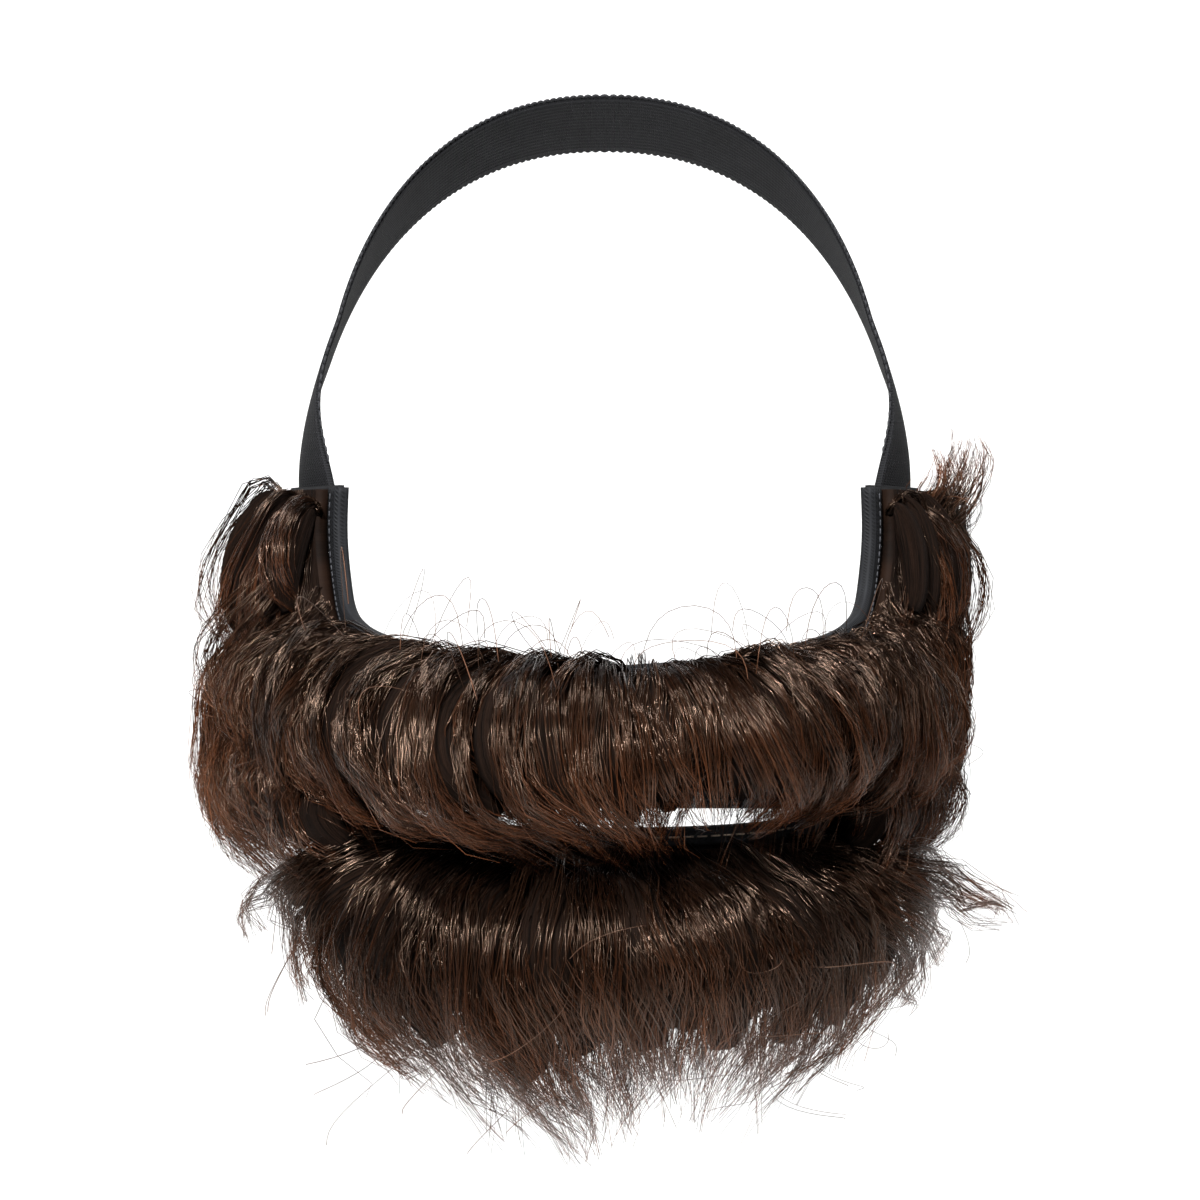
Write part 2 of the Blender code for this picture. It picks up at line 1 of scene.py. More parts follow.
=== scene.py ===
# %% [markdown]
# A costume beard is a piece of sewing with hair on it: a curved cloth backing, black tape round its
# edges and round the mouth slit, an elastic band over the crown, and thousands of fibres that hang
# in locks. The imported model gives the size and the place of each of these. This lesson gives them
# their looks, and it begins by loading that model as a fixed frame.

import math

import bmesh
import bpy
import numpy as np
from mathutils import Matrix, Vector


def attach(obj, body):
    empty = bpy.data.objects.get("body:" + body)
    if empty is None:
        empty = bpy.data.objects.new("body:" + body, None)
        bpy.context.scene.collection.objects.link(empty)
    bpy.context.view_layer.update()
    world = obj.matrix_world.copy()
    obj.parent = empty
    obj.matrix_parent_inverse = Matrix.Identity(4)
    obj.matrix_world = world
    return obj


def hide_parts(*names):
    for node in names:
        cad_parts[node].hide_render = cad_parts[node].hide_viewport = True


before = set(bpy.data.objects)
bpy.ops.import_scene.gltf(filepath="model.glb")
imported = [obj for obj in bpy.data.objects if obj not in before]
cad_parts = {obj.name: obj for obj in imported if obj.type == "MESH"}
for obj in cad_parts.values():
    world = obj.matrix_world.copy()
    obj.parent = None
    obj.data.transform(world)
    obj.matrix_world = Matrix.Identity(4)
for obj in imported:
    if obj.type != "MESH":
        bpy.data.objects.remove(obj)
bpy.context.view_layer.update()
scene = bpy.context.scene
print("nodes:", sorted(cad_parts))

# %% [markdown]
# The camera stands level in front of the beard, 1.3 metres away, with a long lens, as for a
# portrait. A long lens keeps the cheeks and the nose side of the beard at nearly the same scale.

# %% Camera
LENS_MM = 156
SENSOR_MM = 36
CAMERA_PLACE = (-0.00125, -1.3, 0.018)

camera_data = bpy.data.cameras.new("camera")
camera_data.lens = LENS_MM
camera_data.sensor_width = SENSOR_MM
camera = bpy.data.objects.new("camera", camera_data)
camera.location = CAMERA_PLACE
camera.rotation_euler = (math.radians(90), 0, 0)
scene.collection.objects.link(camera)
scene.camera = camera
scene.view_settings.view_transform = "Standard"

# %% [markdown]
# A product photographer hangs such a piece in front of a sheet of pale paper that curves from the
# floor up into a wall, so that no edge shows behind it. It starts just in front of the piece, because
# paper in front would throw light back into dark hair and flatten it. A grid of squares is bent
# into that sheet: its far half turns upwards along a quarter circle.

# %% Paper sweep
FLOOR_RISE = -0.30
SWEEP_START = 1.9
SWEEP_RADIUS = 0.6
SWEEP_FRONT = -0.35
SWEEP_LENGTH = 7.5
SWEEP_HALF_WIDTH = 5.0
SWEEP_GLOW = 0.30


def new_material(name, colour, roughness):
    """A material of one colour and roughness, with its node tree and its main shader."""
    made = bpy.data.materials.new(name)
    made.use_nodes = True
    made.diffuse_color = colour
    shader = made.node_tree.nodes["Principled BSDF"]
    shader.inputs["Base Color"].default_value = colour
    shader.inputs["Roughness"].default_value = roughness
    return made, made.node_tree, shader


def bend_sweep(y):
    """The depth and rise of the paper at a distance along it from the middle of the floor."""
    past = max(y - SWEEP_START, 0.0)
    turn = min(past / SWEEP_RADIUS, math.pi / 2)
    up = max(past - SWEEP_RADIUS * math.pi / 2, 0.0)
    depth = min(y, SWEEP_START) + SWEEP_RADIUS * math.sin(turn)
    return depth, FLOOR_RISE + SWEEP_RADIUS * (1 - math.cos(turn)) + up


paper, _, paper_shader = new_material("paper", (0.86, 0.86, 0.86, 1), 0.9)
paper_shader.inputs["Emission Color"].default_value = (1, 1, 1, 1)
paper_shader.inputs["Emission Strength"].default_value = SWEEP_GLOW

sweep_shape = bmesh.new()
bmesh.ops.create_grid(sweep_shape, x_segments=2, y_segments=120, size=SWEEP_HALF_WIDTH)
for vert in sweep_shape.verts:
    share = vert.co.y / (2 * SWEEP_HALF_WIDTH) + 0.5
    vert.co.y, vert.co.z = bend_sweep(SWEEP_FRONT + SWEEP_LENGTH * share)
sweep_mesh = bpy.data.meshes.new("paper_sweep")
sweep_shape.to_mesh(sweep_mesh)
sweep_shape.free()
sweep_mesh.shade_smooth()
sweep_mesh.materials.append(paper)
sweep = bpy.data.objects.new("paper_sweep", sweep_mesh)
scene.collection.objects.link(sweep)

# %% [markdown]
# Dark hair shows its form by the long soft shine across each curl. A lamp high on the left makes
# that shine and one straight above adds to it. A weaker one on the right fills the shade, and the
# weakest, behind, lights the edge. The surroundings hardly light the hair, so that it stays dark,
# but the camera sees them pale, as it sees the paper.

# %% Lamps
LAMPS = [
    # name, x, y, z, size, watts
    ("key_lamp", -0.35, -1.25, 0.80, 0.20, 92.0),
    ("fill_lamp", 0.90, -0.95, 0.40, 0.30, 9.0),
    ("top_lamp", 0.10, -0.35, 1.15, 0.24, 32.0),
    ("back_lamp", -0.30, 1.00, 0.90, 0.50, 5.0),
]
AIM = Vector((0.0, 0.02, -0.03))
ROOM_LIGHT = 0.02
ROOM_AS_SEEN = 0.95

for name, x, y, z, size, watts in LAMPS:
    lamp_data = bpy.data.lights.new(name, "AREA")
    lamp_data.shape = "SQUARE"
    lamp_data.size = size
    lamp_data.energy = watts
    lamp = bpy.data.objects.new(name, lamp_data)
    lamp.location = (x, y, z)
    lamp.rotation_euler = (AIM - lamp.location).to_track_quat("-Z", "Y").to_euler()
    scene.collection.objects.link(lamp)


def add_node(tree, kind, values=(), **fields):
    """A node with its fields and the values of its sockets set."""
    made = tree.nodes.new(kind)
    for field, value in fields.items():
        setattr(made, field, value)
    for socket, value in dict(values).items():
        made.inputs[socket].default_value = value
    return made


def link(source, output, target, socket):
    """Joins an output of one node to a socket of another, each by its name or number."""
    source.id_data.links.new(source.outputs[output], target.inputs[socket])


world = bpy.data.worlds.new("studio")
world.use_nodes = True
room = world.node_tree.nodes["Background"]
room.inputs["Color"].default_value = (1, 1, 1, 1)
room.inputs["Strength"].default_value = ROOM_LIGHT
seen = add_node(
    world.node_tree, "ShaderNodeBackground", {"Color": (1, 1, 1, 1), "Strength": ROOM_AS_SEEN}
)
looked_at = add_node(world.node_tree, "ShaderNodeLightPath")
choose = add_node(world.node_tree, "ShaderNodeMixShader")
link(looked_at, "Is Camera Ray", choose, "Fac")
link(room, "Background", choose, 1)
link(seen, "Background", choose, 2)
link(choose, "Shader", world.node_tree.nodes["World Output"], "Surface")
scene.world = world

# %% [markdown]
# Everything on the beard lies on one form, the lower half of a face. The cutter's block for it is a
# table of level sections, and a place on it is an angle round the face, a rise, and a height off
# the skin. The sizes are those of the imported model, so each piece lands where its node is.

# %% The face form
FACE_HALF_WIDTH = 0.072
FACE_DEPTH = 0.100
CHIN_DROP = 0.068
EAR_FLARE = 0.010
EAR_FLARE_START = 68.0
EAR_FLARE_SPAN = 26.0
BACKING_WALL = 0.0015
TAPE_WALL = 0.0008
TAPE_WIDTH = 0.0045
BINDING_WIDTH = 0.0035
GAP = 0.0005
MOUTH_DROP = 0.0365
MOUTH_HEIGHT = 0.0076
MOUTH_HALF_ANGLE = 57.0

FACE_SECTIONS = np.array([
    # height, half_width, front, widest, flare
    (-1.95, 0.50, 0.300, 0.72, 0.0),
    (-1.55, 0.60, 0.200, 0.77, 0.0),
    (-1.18, 0.68, 0.100, 0.80, 0.0),
    (-0.91, 0.75, 0.050, 0.83, 0.0),
    (-0.66, 0.86, 0.025, 0.89, 0.1),
    (-0.37, 0.945, -0.025, 0.95, 0.3),
    (0.00, 1.00, 0.000, 1.00, 0.7),
    (0.37, 1.01, 0.000, 1.04, 1.0),
    (0.80, 1.00, 0.000, 1.06, 1.2),
])


def ease(share):
    """A smooth step from 0 to 1."""
    share = np.clip(share, 0.0, 1.0)
    return share * share * (3 - 2 * share)


def smooth_curve(places, values, at):
    """A smooth curve through the values at rising places, read at any place."""
    slopes = np.gradient(values, places)
    at = np.clip(at, places[0], places[-1])
    i = np.clip(np.searchsorted(places, at, side="right") - 1, 0, len(places) - 2)
    step = places[i + 1] - places[i]
    t = (at - places[i]) / step
    start = values[i] * (1 + 2 * t) * (1 - t) ** 2 + slopes[i] * step * t * (1 - t) ** 2
    return start + values[i + 1] * t * t * (3 - 2 * t) + slopes[i + 1] * step * t * t * (t - 1)


def skin(angle, rise):
    """Points of the face form."""
    angle, rise = np.broadcast_arrays(np.asarray(angle, float), np.asarray(rise, float))
    half_width, front, widest, flare = (
        smooth_curve(FACE_SECTIONS[:, 0], FACE_SECTIONS[:, k], rise / CHIN_DROP) for k in (1, 2, 3, 4)
    )
    turn = np.radians(angle)
    spread = EAR_FLARE * flare * ease((np.abs(angle) - EAR_FLARE_START) / EAR_FLARE_SPAN)
    x = FACE_HALF_WIDTH * half_width * np.sin(turn) + np.sign(angle) * spread
    y = FACE_DEPTH * (widest - (widest - front) * np.cos(turn))
    return np.stack([x, y, rise], axis=-1)


def unit(vectors):
    """The same directions with a length of 1."""
    return vectors / np.maximum(np.linalg.norm(vectors, axis=-1, keepdims=True), 1e-12)


def shell(angle, rise, height):
    """Points at a height off the face form, square to its level section."""
    along = skin(angle + 0.5, rise) - skin(angle - 0.5, rise)
    outward = np.stack([along[..., 1], -along[..., 0], 0 * along[..., 0]], axis=-1)
    return skin(angle, rise) + unit(outward) * np.asarray(height, float)[..., None]


def degrees_for(length, angle, rise):
    """How many degrees round the face cover this length at a place."""
    return length / np.linalg.norm(skin(angle + 0.5, rise) - skin(angle - 0.5, rise), axis=-1)


print("lip:", skin(0, 0), "cheek:", skin(90, 0))

# %% [markdown]
# The backing is cut with one long curved edge along the lip and the cheeks and another under the
# jaw. A table gives both edges from the middle of the lip to the top of a sideburn.

# %% The backing's outline
BACKING_OUTLINE = np.array([
    # along, front_angle, front_rise, back_angle, back_rise
    (0.00, 0.0, 0.000, 0.0, -1.10),
    (0.20, 22.0, 0.030, 25.0, -1.05),
    (0.40, 43.0, 0.085, 49.0, -0.94),
    (0.55, 58.0, 0.150, 68.0, -0.78),
    (0.70, 66.0, 0.240, 83.0, -0.55),
    (0.82, 69.5, 0.390, 93.0, -0.25),
    (0.92, 71.0, 0.550, 98.0, 0.15),
    (1.00, 71.0, 0.710, 100.0, 0.71),
])
SIDEBURN_RISE = BACKING_OUTLINE[-1, 2] * CHIN_DROP


def outline_at(along):
    """The backing's front angle and rise and back angle and rise. Along is negative on the left."""
    along = np.asarray(along, float)
    side = np.where(along < 0, -1.0, 1.0)
    front, front_rise, back, back_rise = (
        smooth_curve(BACKING_OUTLINE[:, 0], BACKING_OUTLINE[:, k], np.abs(along)) for k in (1, 2, 3, 4)
    )
    return side * front, front_rise * CHIN_DROP, side * back, back_rise * CHIN_DROP


def top_rise(angle):
    """The rise of the backing's top edge over the lip and the cheek."""
    return CHIN_DROP * smooth_curve(BACKING_OUTLINE[:6, 1], BACKING_OUTLINE[:6, 2], np.abs(angle))


def lower_rise(angle):
    """The rise of the backing's lower edge."""
    return CHIN_DROP * smooth_curve(BACKING_OUTLINE[:, 3], BACKING_OUTLINE[:, 4], np.abs(angle))


def back_edge(rise):
    """The angle of the jaw's and the sideburn's back edge."""
    return smooth_curve(BACKING_OUTLINE[:, 4], BACKING_OUTLINE[:, 3], rise / CHIN_DROP)


def mouth_half_height(angle):
    """Half the slit's height: full over the lips and closing to a point at each end."""
    share = np.clip(np.abs(angle) / MOUTH_HALF_ANGLE, 0.0, 1.0)
    return MOUTH_HEIGHT / 2 * np.sqrt(1 - share**2.4)


# %% [markdown]
# Cloth, tape and elastic all begin as a flat sheet of small squares, as on a cutting table, and a
# rule then carries each point to its place on the head. Each sheet keeps a UV map in millimetres,
# so that a weave has its real size on it and follows it round every bend.

# %% Flat sheets
UV_NAME = "UVMap"


def flat_sheet(columns, rows):
    """A flat sheet of squares from 0 to 1 both ways."""
    sheet = bmesh.new()
    sheet.loops.layers.uv.new(UV_NAME)
    bmesh.ops.create_grid(sheet, x_segments=columns, y_segments=rows, size=0.5, calc_uvs=True)
    bmesh.ops.translate(sheet, verts=sheet.verts, vec=(0.5, 0.5, 0.0))
    return sheet


def size_uv(sheet, across, down):
    """Scales a sheet's UV map, which runs from 0 to 1, to its real size in millimetres."""
    uv = sheet.loops.layers.uv[UV_NAME]
    for face in sheet.faces:
        for loop in face.loops:
            loop[uv].uv = (loop[uv].uv.x * across, loop[uv].uv.y * down)


def lay_sheet(sheet, place, millimetres):
    """Carries a flat sheet to its place and gives its UV map its real size."""
    flat = np.array([vert.co for vert in sheet.verts])
    for vert, point in zip(sheet.verts, place(flat[:, 0], flat[:, 1])):
        vert.co = point
    size_uv(sheet, *millimetres)


def show_piece(name, mesh, finish):
    """A finished piece from a mesh, riding on the part's one body."""
    mesh.shade_smooth()
    mesh.materials.append(finish)
    piece = bpy.data.objects.new(name, mesh)
    scene.collection.objects.link(piece)
    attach(piece, "root")
    return piece


def new_piece(name, shape, finish):
    """A finished piece from a bmesh."""
    mesh = bpy.data.meshes.new(name)
    shape.to_mesh(mesh)
    shape.free()
    print(name, len(mesh.vertices), "points")
    return show_piece(name, mesh, finish)


def give_wall(piece, wall, side):
    """Gives a sheet its thickness, towards its front for 1 and evenly for 0."""
    solid = piece.modifiers.new("wall", "SOLIDIFY")
    solid.thickness = wall
    solid.offset = side
    solid.use_even_offset = True


# %% [markdown]
# Woven cloth is two sets of threads that pass over and under each other. Two wave patterns that
# cross, one along the cloth and one across it, give that relief in the bump, and a slow noise
# varies the black a little, as dye and wear do. The colour is also darker where the relief is low,
# between the threads, which is painted shade.

# %% Cloth finishes
WAVE_PERIOD = 0.3142  # how far apart the wave texture's bands lie at a scale of 1


def bands(uv, direction, pitch):
    """Threads of one direction, a pitch apart in millimetres."""
    wave = add_node(
        uv.id_data, "ShaderNodeTexWave", {"Scale": WAVE_PERIOD / pitch},
        wave_type="BANDS", bands_direction=direction,
    )
    link(uv, "UV", wave, "Vector")
    return wave


def colour_by(source, output, dark, light, shader):
    """Colours a shader from dark to light by another node's output."""
    mix = add_node(source.id_data, "ShaderNodeMix", {"A": dark, "B": light}, data_type="RGBA")
    link(source, output, mix, "Factor")
    link(mix, "Result", shader, "Base Color")


def raise_by(source, output, strength, depth, shader):
    """Gives a shader relief, as deep as stated, by another node's output."""
    bump = add_node(source.id_data, "ShaderNodeBump", {"Strength": strength, "Distance": depth})
    link(source, output, bump, "Height")
    link(bump, "Normal", shader, "Normal")


def woven_finish(name, dark, light, first, second, depth, roughness):
    """A cloth of two sets of threads, each given as its direction and pitch, with painted shade between
    the threads.
    """
    made, tree, shader = new_material(name, light, roughness)
    uv = add_node(tree, "ShaderNodeUVMap", uv_map=UV_NAME)
    both = add_node(tree, "ShaderNodeMath", operation="MAXIMUM")
    link(bands(uv, *first), "Fac", both, 0)
    link(bands(uv, *second), "Fac", both, 1)
    raise_by(both, "Value", 0.8, depth, shader)
    wear = add_node(tree, "ShaderNodeTexNoise", {"Scale": 0.09, "Detail": 4.0})
    link(uv, "UV", wear, "Vector")
    # Painted shade: the colour darkens where the threads' relief is low, times the slow dye and wear
    # noise.
    shade = add_node(tree, "ShaderNodeMath", operation="MULTIPLY")
    link(both, "Value", shade, 0)
    link(wear, "Fac", shade, 1)
    colour_by(shade, "Value", dark, light, shader)
    shader.inputs["Specular IOR Level"].default_value = 0.12
    return made


backing_finish = woven_finish(
    "backing_weave", (0.0012, 0.0012, 0.0014, 1), (0.0080, 0.0082, 0.0092, 1),
    ("X", 0.8), ("Y", 0.8), 0.0002, 0.85,
)
tape_finish = woven_finish(
    "tape_twill", (0.0012, 0.0013, 0.0016, 1), (0.0070, 0.0076, 0.0092, 1),
    ("DIAGONAL", 0.7), ("Y", 1.6), 0.0002, 0.75,
)
elastic_finish = woven_finish(
    "elastic_knit", (0.0012, 0.0012, 0.0015, 1), (0.0090, 0.0094, 0.0110, 1),
    ("Y", 1.5), ("X", 0.7), 0.0003, 0.80,
)


def thread_material(name, dark, light):
    """Twisted thread: fine bands at their real size, with a slow change of shade."""
    made, tree, shader = new_material(name, light, 0.6)
    spot = add_node(tree, "ShaderNodeTexCoord")
    twist = add_node(
        tree, "ShaderNodeTexWave", {"Scale": 700.0, "Distortion": 1.5}, bands_direction="DIAGONAL"
    )
    link(spot, "Object", twist, "Vector")
    raise_by(twist, "Fac", 0.5, 0.0001, shader)
    cloud = add_node(tree, "ShaderNodeTexNoise", {"Scale": 300.0, "Detail": 3.0})
    link(spot, "Object", cloud, "Vector")
    colour_by(cloud, "Fac", dark, light, shader)
    shader.inputs["Specular IOR Level"].default_value = 0.2
    return made


thread_finish = thread_material("sewing_thread", (0.006, 0.006, 0.007, 1), (0.030, 0.031, 0.036, 1))
pale_thread_finish = thread_material("pale_thread", (0.10, 0.07, 0.05, 1), (0.34, 0.27, 0.21, 1))
loop_finish = thread_material("elastic_thread", (0.0015, 0.0015, 0.002, 1), (0.012, 0.0125, 0.015, 1))

# %% [markdown]
# The backing is one sheet with a slit in it. The sheet is laid in two halves that share their edge
# beyond the ends of the mouth: over the lips the halves draw apart by the slit's height, and where
# they meet, their double points are merged. A wall then makes cloth of it.

# %% The cloth backing
BACKING_COLUMNS = 120
HALF_ROWS = 12
HALF_SHEET_MM = (330.0, 45.0)
SAME_POINT = 1e-6


def add_shape(shape, other):
    """Adds one bmesh to another."""
    carrier = bpy.data.meshes.new("carrier")
    other.to_mesh(carrier)
    other.free()
    shape.from_mesh(carrier)
    bpy.data.meshes.remove(carrier)


def backing_place(part, height=0.0):
    """Carries a flat sheet to the half of the backing above the slit (0) or below it (1)."""
    def place(u, v):
        front, front_rise, back, back_rise = outline_at(2 * u - 1)
        tall = np.maximum(front_rise - back_rise, 0.001)
        slit = np.clip((front_rise + MOUTH_DROP) / tall, 0.1, 0.60)
        half = mouth_half_height(front + (back - front) * slit) / tall
        down = v * (slit - half) if part == 0 else slit + half + v * (1 - slit - half)
        angle = front + (back - front) * down
        return shell(angle, front_rise + (back_rise - front_rise) * down, np.full(len(u), height))
    return place


backing_shape = bmesh.new()
for part in (0, 1):
    half_sheet = flat_sheet(BACKING_COLUMNS, HALF_ROWS)
    lay_sheet(half_sheet, backing_place(part), HALF_SHEET_MM)
    add_shape(backing_shape, half_sheet)
bmesh.ops.remove_doubles(backing_shape, verts=backing_shape.verts, dist=SAME_POINT)
bmesh.ops.recalc_face_normals(backing_shape, faces=backing_shape.faces)
print("cloth area", sum(face.calc_area() for face in backing_shape.faces), "square metres")
backing_piece = new_piece("backing_cloth", backing_shape, backing_finish)
give_wall(backing_piece, BACKING_WALL, 1)
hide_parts("backing")

# %% [markdown]
# Tape is folded over a raw edge and sewn through. Its sheet is laid flat along the edge and its
# width is bent round it in a U: up the inside, round the edge, and down the outside.

# %% Folded tape
TOP_EDGE_REACH = 0.996
TOP_EDGE_STEP = 0.004
SLIT_STEP = 0.075
TAPE_COLUMNS = 160
TAPE_ROWS = 16
FOLD_MM = 4


def way_into_cloth(place, ahead, behind):
    """Degrees and rise for a metre into the cloth, which lies to the right of the way ahead."""
    degrees_a_metre = degrees_for(1.0, *place)
    run = (ahead[0] - behind[0]) / degrees_a_metre
    climb = ahead[1] - behind[1]
    length = np.maximum(np.hypot(run, climb), 1e-9)
    return climb / length * degrees_a_metre, -run / length


def fold_over_edge(v, width):
    """The way into the cloth and the height off the skin at a share of the tape's own width."""
    inside, outside = -GAP - TAPE_WALL / 2, BACKING_WALL + GAP + TAPE_WALL / 2
    radius = (outside - inside) / 2
    bend = math.pi * radius
    run = v * (2 * width + bend)
    turn = np.clip((run - width) / radius, 0.0, math.pi)
    into = np.where(run < width, width - run, np.where(run > width + bend, run - width - bend, 0.0))
    return into - (radius - GAP) * np.sin(turn) * 0.9, (inside + outside) / 2 - radius * np.cos(turn)


def tape_place(edge, width):
    """Carries a flat sheet along an edge, folded over it."""
    def place(u, v):
        spot, ahead, behind = edge(u)
        turn, climb = way_into_cloth(spot, ahead, behind)
        into, height = fold_over_edge(v, width)
        return shell(spot[0] + turn * into, spot[1] + climb * into, height)
    return place


def beside(line, at, step):
    """The places of a line at a share of it, a step ahead of that and a step behind it."""
    return [line(at + shift) for shift in (0, step, -step)]


def top_place(along):
    """The backing's top edge, as an angle and a rise."""
    return outline_at(along)[:2]


def top_edge(u):
    """The top edge from the left sideburn to the right one."""
    return beside(top_place, TOP_EDGE_REACH * (2 * u - 1), TOP_EDGE_STEP)


def slit_place(turn):
    """The slit's edge at a turn round its outline, in nearly even steps."""
    even = 2 * np.abs((turn / math.pi) % 2 - 1) - 1
    angle = MOUTH_HALF_ANGLE * (0.7 * even + 0.3 * np.cos(turn))
    return angle, np.copysign(mouth_half_height(angle), np.sin(turn)) - MOUTH_DROP


def slit_edge(u):
    """The slit's edge, once round."""
    return beside(slit_place, 2 * math.pi * u, SLIT_STEP)


TAPES = [
    # piece name, node, edge, width, length in millimetres
    ("edge_tape_folded", "edge_tape", top_edge, TAPE_WIDTH, 340.0),
    ("mouth_tape_folded", "mouth_binding", slit_edge, BINDING_WIDTH, 240.0),
]
for name, node, edge, width, length in TAPES:
    tape_sheet = flat_sheet(TAPE_COLUMNS, TAPE_ROWS)
    lay_sheet(tape_sheet, tape_place(edge, width), (length, 2 * width * 1000 + FOLD_MM))
    bmesh.ops.remove_doubles(tape_sheet, verts=tape_sheet.verts, dist=SAME_POINT)
    bmesh.ops.recalc_face_normals(tape_sheet, faces=tape_sheet.faces)
    tape_piece = new_piece(name, tape_sheet, tape_finish)
    give_wall(tape_piece, TAPE_WALL, 0)
    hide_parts(node)

# %% [markdown]
# The elastic is a knitted band 25 millimetres wide. It is sewn inside the top of each sideburn and
# goes up and back over the crown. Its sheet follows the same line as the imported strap.

# %% The elastic band
STRAP_WIDTH = 0.025
STRAP_WALL = 0.0013
STRAP_OVERLAP = 0.018
STRAP_REACH = 0.120
STRAP_TILT = math.radians(60.0)
STRAP_ANGLE = 84.0
STRAP_LEAN = math.radians(15.0)
STRAP_FULLNESS = 0.9
STRAP_SETTLES = 0.045
STRAP_ARCH = math.pi * STRAP_REACH
STRAP_RUN = STRAP_ARCH + 2 * STRAP_OVERLAP
STRAP_SHEET_MM = (357.0, 25.0)
STRAP_COLUMNS = 220
STRAP_ROWS = 12


def strap_on_backing(side, run, across, height):
    """Points of the band's straight stretch. The run starts at the top edge of the sideburn."""
    rise = SIDEBURN_RISE + run * math.sin(STRAP_TILT) - across * math.cos(STRAP_TILT)
    back = run * math.cos(STRAP_TILT) + across * math.sin(STRAP_TILT)
    angle = STRAP_ANGLE + degrees_for(back, STRAP_ANGLE, SIDEBURN_RISE)
    return shell(side * angle, rise, height)


def strap_over_head(share, across, height):
    """Points of the band's arch over the crown, from the left end at 0 to the right end at 1."""
    up_and_back = np.array([0.0, math.cos(STRAP_TILT), math.sin(STRAP_TILT)])
    square_to_arch = np.array([0.0, math.sin(STRAP_TILT), -math.cos(STRAP_TILT)])
    turn = np.clip(math.pi * share, 1e-9, math.pi - 1e-9)
    end = skin(STRAP_ANGLE, SIDEBURN_RISE)
    wide = np.copysign(np.abs(np.cos(turn)) ** STRAP_FULLNESS, np.cos(turn))
    high = np.sin(turn) ** STRAP_FULLNESS
    middle = np.stack([-end[0] * wide, 0 * wide + end[1], 0 * wide + end[2]], axis=-1)
    middle = middle + up_and_back * (STRAP_REACH * high)[:, None]
    out = np.stack([-np.cos(turn) / end[0], 0 * turn, 0 * turn], axis=-1)
    out = unit(out + up_and_back * (np.sin(turn) / STRAP_REACH)[:, None])
    lean = (STRAP_LEAN * (1 - np.sin(turn)))[:, None]
    width_way = square_to_arch * np.cos(lean) + out * np.sin(lean)
    face_way = out * np.cos(lean) - square_to_arch * np.sin(lean)
    return middle + width_way * across[:, None] + face_way * height[:, None]


def strap_place(u, v, height=-GAP - STRAP_WALL / 2):
    """Carries a flat sheet to the band: u runs along it and v across it."""
    run_along = u * STRAP_RUN - STRAP_OVERLAP
    share = np.clip(run_along / STRAP_ARCH, 0.0, 1.0)
    side = np.where(share < 0.5, -1.0, 1.0)
    run = np.minimum(run_along, STRAP_ARCH - run_along)
    across = STRAP_WIDTH * (v - 0.5)
    height = np.zeros(len(u)) + height
    free = ease(run / STRAP_SETTLES)[:, None]
    straight = strap_on_backing(side, run, across, height)
    return straight * (1 - free) + strap_over_head(share, across, height) * free


strap_sheet = flat_sheet(STRAP_COLUMNS, STRAP_ROWS)
lay_sheet(strap_sheet, strap_place, STRAP_SHEET_MM)
bmesh.ops.recalc_face_normals(strap_sheet, faces=strap_sheet.faces)
strap_piece = new_piece("elastic_band", strap_sheet, elastic_finish)
give_wall(strap_piece, STRAP_WALL, 0)
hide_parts("strap")

# %% [markdown]
# Long thin things repeat all over the beard: fibres, stitches and the little loops on the elastic.
# One straight tube is made with operators, a cone of even width whose long edges are cut into
# rings, and arrays carry thousands of copies of it along their own lines into one mesh.

# %% Tubes along lines
def straight_tube(sides, rings):
    """A straight closed tube of radius 1 from 0 to 1 along Z, in even rings."""
    tube = bmesh.new()
    bmesh.ops.create_cone(
        tube, cap_ends=True, cap_tris=False, segments=sides, radius1=1, radius2=1, depth=1
    )
    long_edges = [e for e in tube.edges if abs(e.verts[0].co.z - e.verts[1].co.z) > 0.5]
    bmesh.ops.subdivide_edges(tube, edges=long_edges, cuts=rings - 2)
    bmesh.ops.translate(tube, verts=tube.verts, vec=(0, 0, 0.5))
    bmesh.ops.recalc_face_normals(tube, faces=tube.faces)
    return tube


def frames_along(lines):
    """Two directions square to each line and to each other, carried along it without twisting."""
    ahead = unit(np.gradient(lines, axis=1))
    helper = np.where(np.abs(ahead[:, 0, 2:3]) < 0.8, [[0.0, 0.0, 1.0]], [[1.0, 0.0, 0.0]])
    side = unit(np.cross(ahead[:, 0], helper))
    sides = np.empty_like(lines)
    for k in range(lines.shape[1]):
        side = unit(side - ahead[:, k] * np.sum(side * ahead[:, k], axis=1, keepdims=True))
        sides[:, k] = side
    return sides, np.cross(ahead, sides)


